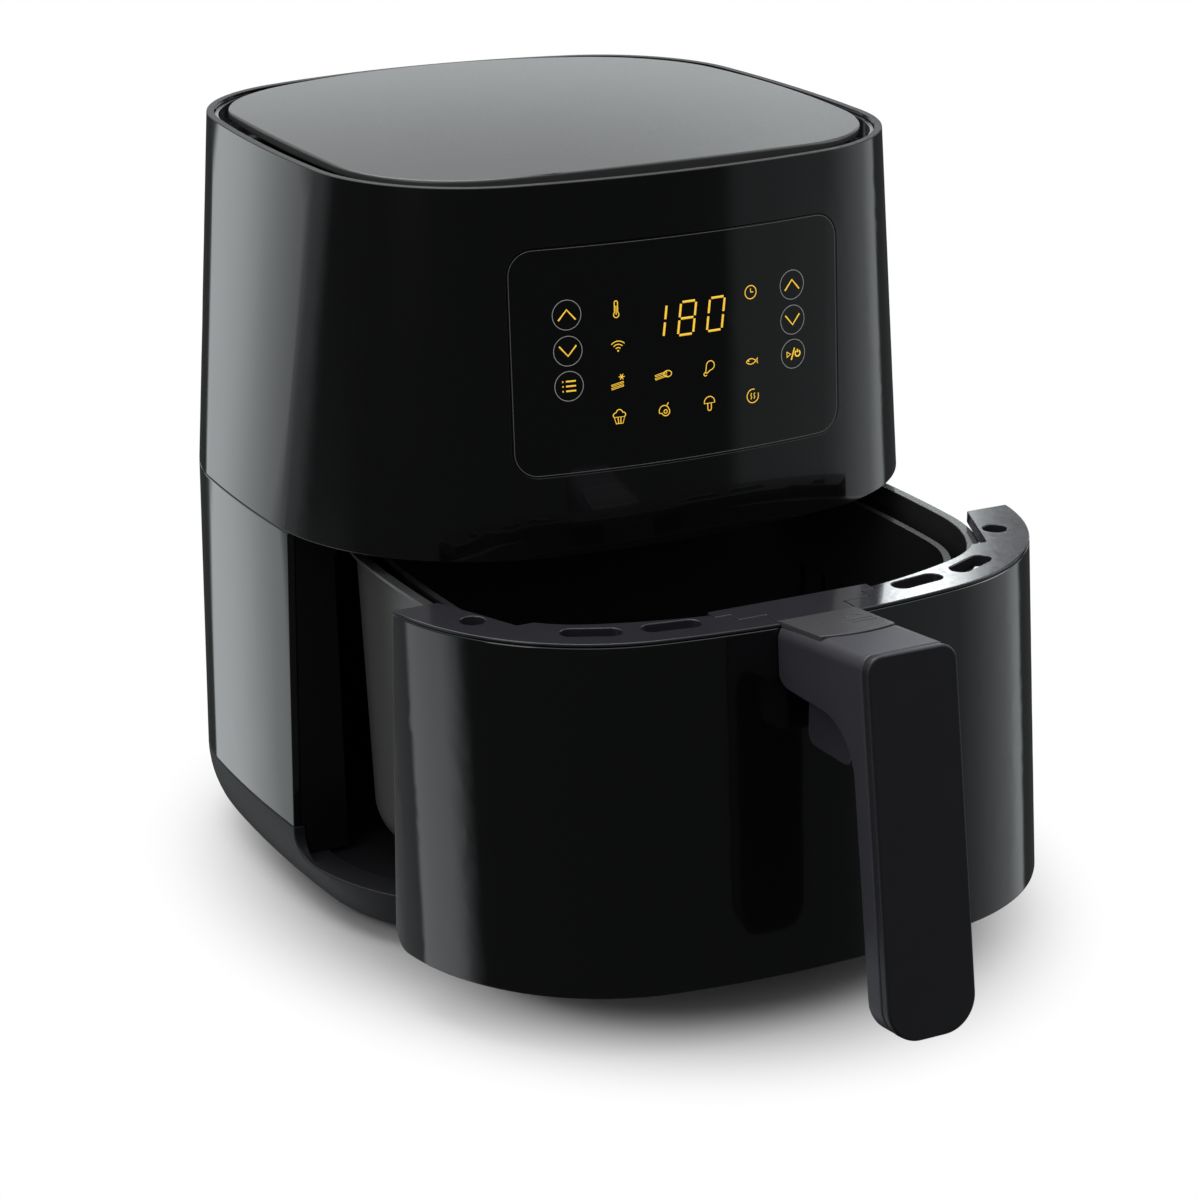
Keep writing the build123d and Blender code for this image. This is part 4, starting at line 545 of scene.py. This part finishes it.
# Seven-segment digits
DIGIT_HALF_WIDTH = 3.2
DIGIT_HALF_HEIGHT = 6.1
DIGIT_SLANT = 0.14
DIGIT_GAP = 0.6
DIGIT_Z = 236.8
SEGMENTS = {
    "a": ((-1, 1), (1, 1)), "b": ((1, 1), (1, 0)), "c": ((1, 0), (1, -1)), "d": ((-1, -1), (1, -1)),
    "e": ((-1, 0), (-1, -1)), "f": ((-1, 1), (-1, 0)), "g": ((-1, 0), (1, 0)),
}
DIGITS = (("bc", -11.5), ("abcdefg", 0.9), ("abcdef", 13.2))


def digit(lit, x):
    """The lit segments of one digit, each cut short at its ends."""
    strokes = []
    for key in lit:
        ends = [(px * DIGIT_HALF_WIDTH, pz * DIGIT_HALF_HEIGHT) for px, pz in SEGMENTS[key]]
        share = DIGIT_GAP / math.dist(*ends)
        (ax, az), (bx, bz) = ends
        cut = [(ax + (bx - ax) * t, az + (bz - az) * t) for t in (share, 1 - share)]
        strokes.append([(px + pz * DIGIT_SLANT + x, pz + DIGIT_Z) for px, pz in cut])
    return strokes


symbols = [stroke for icon, x, z in ICONS for stroke in shifted(icon, x, z, ICON_SIZE)]
arrows = [stroke for icon, x, z in KEYS for stroke in shifted(icon, x, z)]
digits = [stroke for lit, x in DIGITS for stroke in digit(lit, x)]
rings = [arc(x, z, KEY_RADIUS, 0, 360, 40) for _, x, z in KEYS]
drawn("panel_symbols", symbols, SYMBOL_LINE, AMBER, "housing", on_panel)
drawn("panel_key_marks", arrows, KEY_MARK_LINE, AMBER, "housing", on_panel)
drawn("panel_digits", digits, DIGIT_LINE, AMBER, "housing", on_panel)
# The key rings glow faintly as painted light
drawn("panel_key_rings", rings, KEY_RING_LINE, KEY_RING_PAINTED_GLOW, "housing", on_panel)

# Fine line round the touch panel, a faintly glowing grey line that is a painted highlight along the panel's
# edge
OUTLINE_INSET = 0.6
OUTLINE_RADIUS = 9.0
OUTLINE_STEP = 3.0
OUTLINE_LINE = 0.22
panel_low, panel_high = (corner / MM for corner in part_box("control_panel"))
inset = OUTLINE_INSET + OUTLINE_RADIUS
side, low, high = panel_high.x - inset, panel_low.z + inset, panel_high.z - inset
corners = ((side, high, 0), (-side, high, 90), (-side, low, 180), (side, low, 270))
outline = [point for x, z, turn in corners for point in arc(x, z, OUTLINE_RADIUS, turn, turn + 90, 8)]
fine_line = divided(outline + outline[:1], OUTLINE_STEP)
drawn("panel_outline", [fine_line], OUTLINE_LINE, OUTLINE_PAINTED_HIGHLIGHT, "housing", on_panel)

# Raised mark on the release flap
FLAP = Surface("release_button")
FLAP_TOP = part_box("release_button")[1].z + AHEAD
FLAP_MARK_PLACE = (8.4, -137.7)
FLAP_MARK_LINE = 0.7
FLAP_MARK_RELIEF = 0.6
FLAP_MARK = [[(-5, -4.2), (5, -4.2)], [(-5, -1.2), (5, -1.2)], [(-4, 2.4), (0, 5.0), (4, 2.4)]]


def on_flap(point):
    hit = FLAP.ahead((point.x, point.z, FLAP_TOP), (0, 0, -1))
    return Vector((point.x, point.z, hit.z - point.y * FLAP_MARK_RELIEF))


flap_mark = shifted(FLAP_MARK, *FLAP_MARK_PLACE)
drawn("flap_mark", flap_mark, FLAP_MARK_LINE, FLAP_PAINTED_SHEEN, "button", on_flap)

# Softboxes, all aimed at the middle of the object
MIDDLE = Vector((0, 0.03, 0.15))


def softbox(name, place, size, power):
    light = bpy.data.lights.new(name, "AREA")
    light.shape = "RECTANGLE"
    light.size, light.size_y = size
    light.energy = power
    holder = bpy.data.objects.new(name, light)
    bpy.context.scene.collection.objects.link(holder)
    holder.location = place
    holder.rotation_mode = "QUATERNION"
    holder.rotation_quaternion = (MIDDLE - Vector(place)).to_track_quat("-Z", "Y")


softbox("top_softbox", place=(-0.1, 0.7, 1.8), size=(1.5, 1.5), power=27)
softbox("left_softbox", place=(-1.9, -0.9, 1.0), size=(0.9, 1.6), power=7.5)
softbox("right_softbox", place=(1.9, -0.4, 0.9), size=(0.8, 1.4), power=6)

# Upright light strips: start, full, end and none in degrees from +Y towards -X, then strength
BACK_LEFT = (9, 13, 18, 38, 0.9)
BACK_LEFT_GLOW = (24, 34, 44, 60, 0.14)
LOW_LEFT = (50, 54, 74, 94, 0.75)
RIGHT_WIDE = (-146, -143, -76, -70, 0.11)
RIGHT_MIDDLE = (-142, -92, -76, -70, 0.24)
RIGHT_EDGE = (-92, -80, -76, -70, 0.16)
HIGH_BACK = (-70, -50, -8, 8, 1.74)
LAMP = (-34.6, -34.0, -33.3, -32.5, 8.0)

# Heights between which the lights fade, as the z of a direction
LOW_LEFT_TOP = (-0.27, -0.22)
HIGH_BACK_FOOT = (0.0, 0.04)
HIGH_BACK_FALL = (0.06, 0.34)
LAMP_FOOT = (0.298, 0.318)
LAMP_TOP = (0.37, 0.41)
CEILING_EDGE = (0.45, 0.7)
TABLE_EDGE = (-0.9, -0.7)
AMBIENT_EDGE = (0.1, 0.8)

# Strengths of the other lights, and the tint of what the object reflects
HIGH_BACK_LOSS = 0.8
CEILING = 0.8
FILL = 0.04
AMBIENT_LOW = 0.07
AMBIENT_RISE = 0.67
WHITE = (1.0, 1.0, 1.0)
COOL = (0.95, 1.0, 1.02)


def studio_world():
    """White to the camera, strips of light in reflections, and a soft ambient light."""
    world = bpy.data.worlds.new("studio")
    bpy.context.scene.world = world
    world.use_nodes = True
    graph = Graph(world.node_tree)
    split = graph.node("SeparateXYZ", None, {"Vector": graph.node("TexCoord").outputs["Generated"]})
    x, y, z = (graph.term(s) for s in split.outputs)
    turn = calculated(graph.tree, "ARCTAN2", 0 - x, y)

    def strip(start, full, end, none, strength):
        a, b, c, d = (math.radians(v) for v in (start, full, end, none))
        return graph.smooth(turn, a, b) * (1 - graph.smooth(turn, c, d)) * strength

    def above(edge):
        return graph.smooth(z, *edge)

    back_left = strip(*BACK_LEFT) + strip(*BACK_LEFT_GLOW)
    low_left = strip(*LOW_LEFT) * (1 - above(LOW_LEFT_TOP))
    right = strip(*RIGHT_WIDE) + strip(*RIGHT_MIDDLE) + strip(*RIGHT_EDGE)
    falling = above(HIGH_BACK_FOOT) * (1 - HIGH_BACK_LOSS * above(HIGH_BACK_FALL))
    high_back = strip(*HIGH_BACK) * falling
    ceiling = CEILING * above(CEILING_EDGE)
    lamp = strip(*LAMP) * above(LAMP_FOOT) * (1 - above(LAMP_TOP))
    lights = back_left + low_left + right + high_back + ceiling + lamp
    glossy_light = lights * above(TABLE_EDGE) + FILL
    ambient = AMBIENT_LOW + AMBIENT_RISE * above(AMBIENT_EDGE)
    rays = graph.node("LightPath").outputs
    camera_ray = graph.term(rays["Is Camera Ray"])
    glossy_ray = graph.term(rays["Is Glossy Ray"]) + graph.term(rays["Is Transmission Ray"])
    strength = camera_ray + glossy_ray * glossy_light + (1 - camera_ray - glossy_ray) * ambient
    background = graph.tree.nodes["Background"]
    plug(graph.tree, background.inputs["Strength"], strength)
    plug(graph.tree, background.inputs["Color"], graph.mix(glossy_ray, WHITE, COOL))


studio_world()

# Floor, which fades to white away from an oval round the object; inside the oval its grey tone is painted
# shade that deepens the shadow it takes
FLOOR_HALF = 8.0
# Grey tone of the floor inside the oval: painted shade round the object
FLOOR_SHADE_TONE = 0.6
FLOOR_NEAR = 0.115
FLOOR_FAR = 0.185
FLOOR_STRETCH = (1, 0.8, 0)
FLOOR_CENTRE = (0, -0.024, 0)


def floor():
    shape = bmesh.new()
    bmesh.ops.create_grid(shape, x_segments=1, y_segments=1, size=FLOOR_HALF)
    mesh = bpy.data.meshes.new("floor")
    shape.to_mesh(mesh)
    shape.free()
    piece = bpy.data.objects.new("floor", mesh)
    bpy.context.scene.collection.objects.link(piece)
    piece.visible_glossy = False
    material = bpy.data.materials.new("floor_white")
    material.use_nodes = True
    graph = Graph(material.node_tree)
    shader = graph.tree.nodes["Principled BSDF"]
    # The grey tone near the object is painted shade
    shader.inputs["Base Color"].default_value = (*grey(FLOOR_SHADE_TONE), 1)
    shader.inputs["Roughness"].default_value = 1.0
    shader.inputs["Specular IOR Level"].default_value = 0.0
    place = graph.node("TexCoord").outputs["Object"]
    oval = {0: place, 1: FLOOR_STRETCH, 2: FLOOR_CENTRE}
    spread = graph.node("VectorMath", {"operation": "MULTIPLY_ADD"}, oval).outputs["Vector"]
    away = graph.term(graph.node("VectorMath", {"operation": "LENGTH"}, {0: spread}).outputs["Value"])
    seen = graph.term(graph.node("LightPath").outputs["Is Camera Ray"])
    glow = graph.node("Emission", None, {"Strength": seen})
    far = graph.smooth(away, FLOOR_NEAR, FLOOR_FAR)
    mixed = graph.node("MixShader", None, {0: far, 1: shader.outputs[0], 2: glow.outputs[0]})
    plug(graph.tree, graph.tree.nodes["Material Output"].inputs["Surface"], mixed.outputs[0])
    piece.data.materials.append(material)


floor()

# Camera of the photograph
CAMERA_PLACE = Vector((-611.45, -1111.58, 566.01)) * MM
CAMERA_BACK = Vector((-0.44225, -0.83296, 0.33256))
CAMERA_LENS = 104.8
SENSOR = 36.0
CLIP_NEAR = 0.01
CLIP_FAR = 50.0


def camera():
    lens = bpy.data.cameras.new("camera")
    lens.lens = CAMERA_LENS
    lens.sensor_width = SENSOR
    lens.clip_start = CLIP_NEAR
    lens.clip_end = CLIP_FAR
    holder = bpy.data.objects.new("camera", lens)
    bpy.context.scene.collection.objects.link(holder)
    holder.location = CAMERA_PLACE
    holder.rotation_mode = "QUATERNION"
    holder.rotation_quaternion = (-CAMERA_BACK).to_track_quat("-Z", "Y")
    bpy.context.scene.camera = holder


camera()
bpy.context.scene.view_settings.view_transform = "Standard"
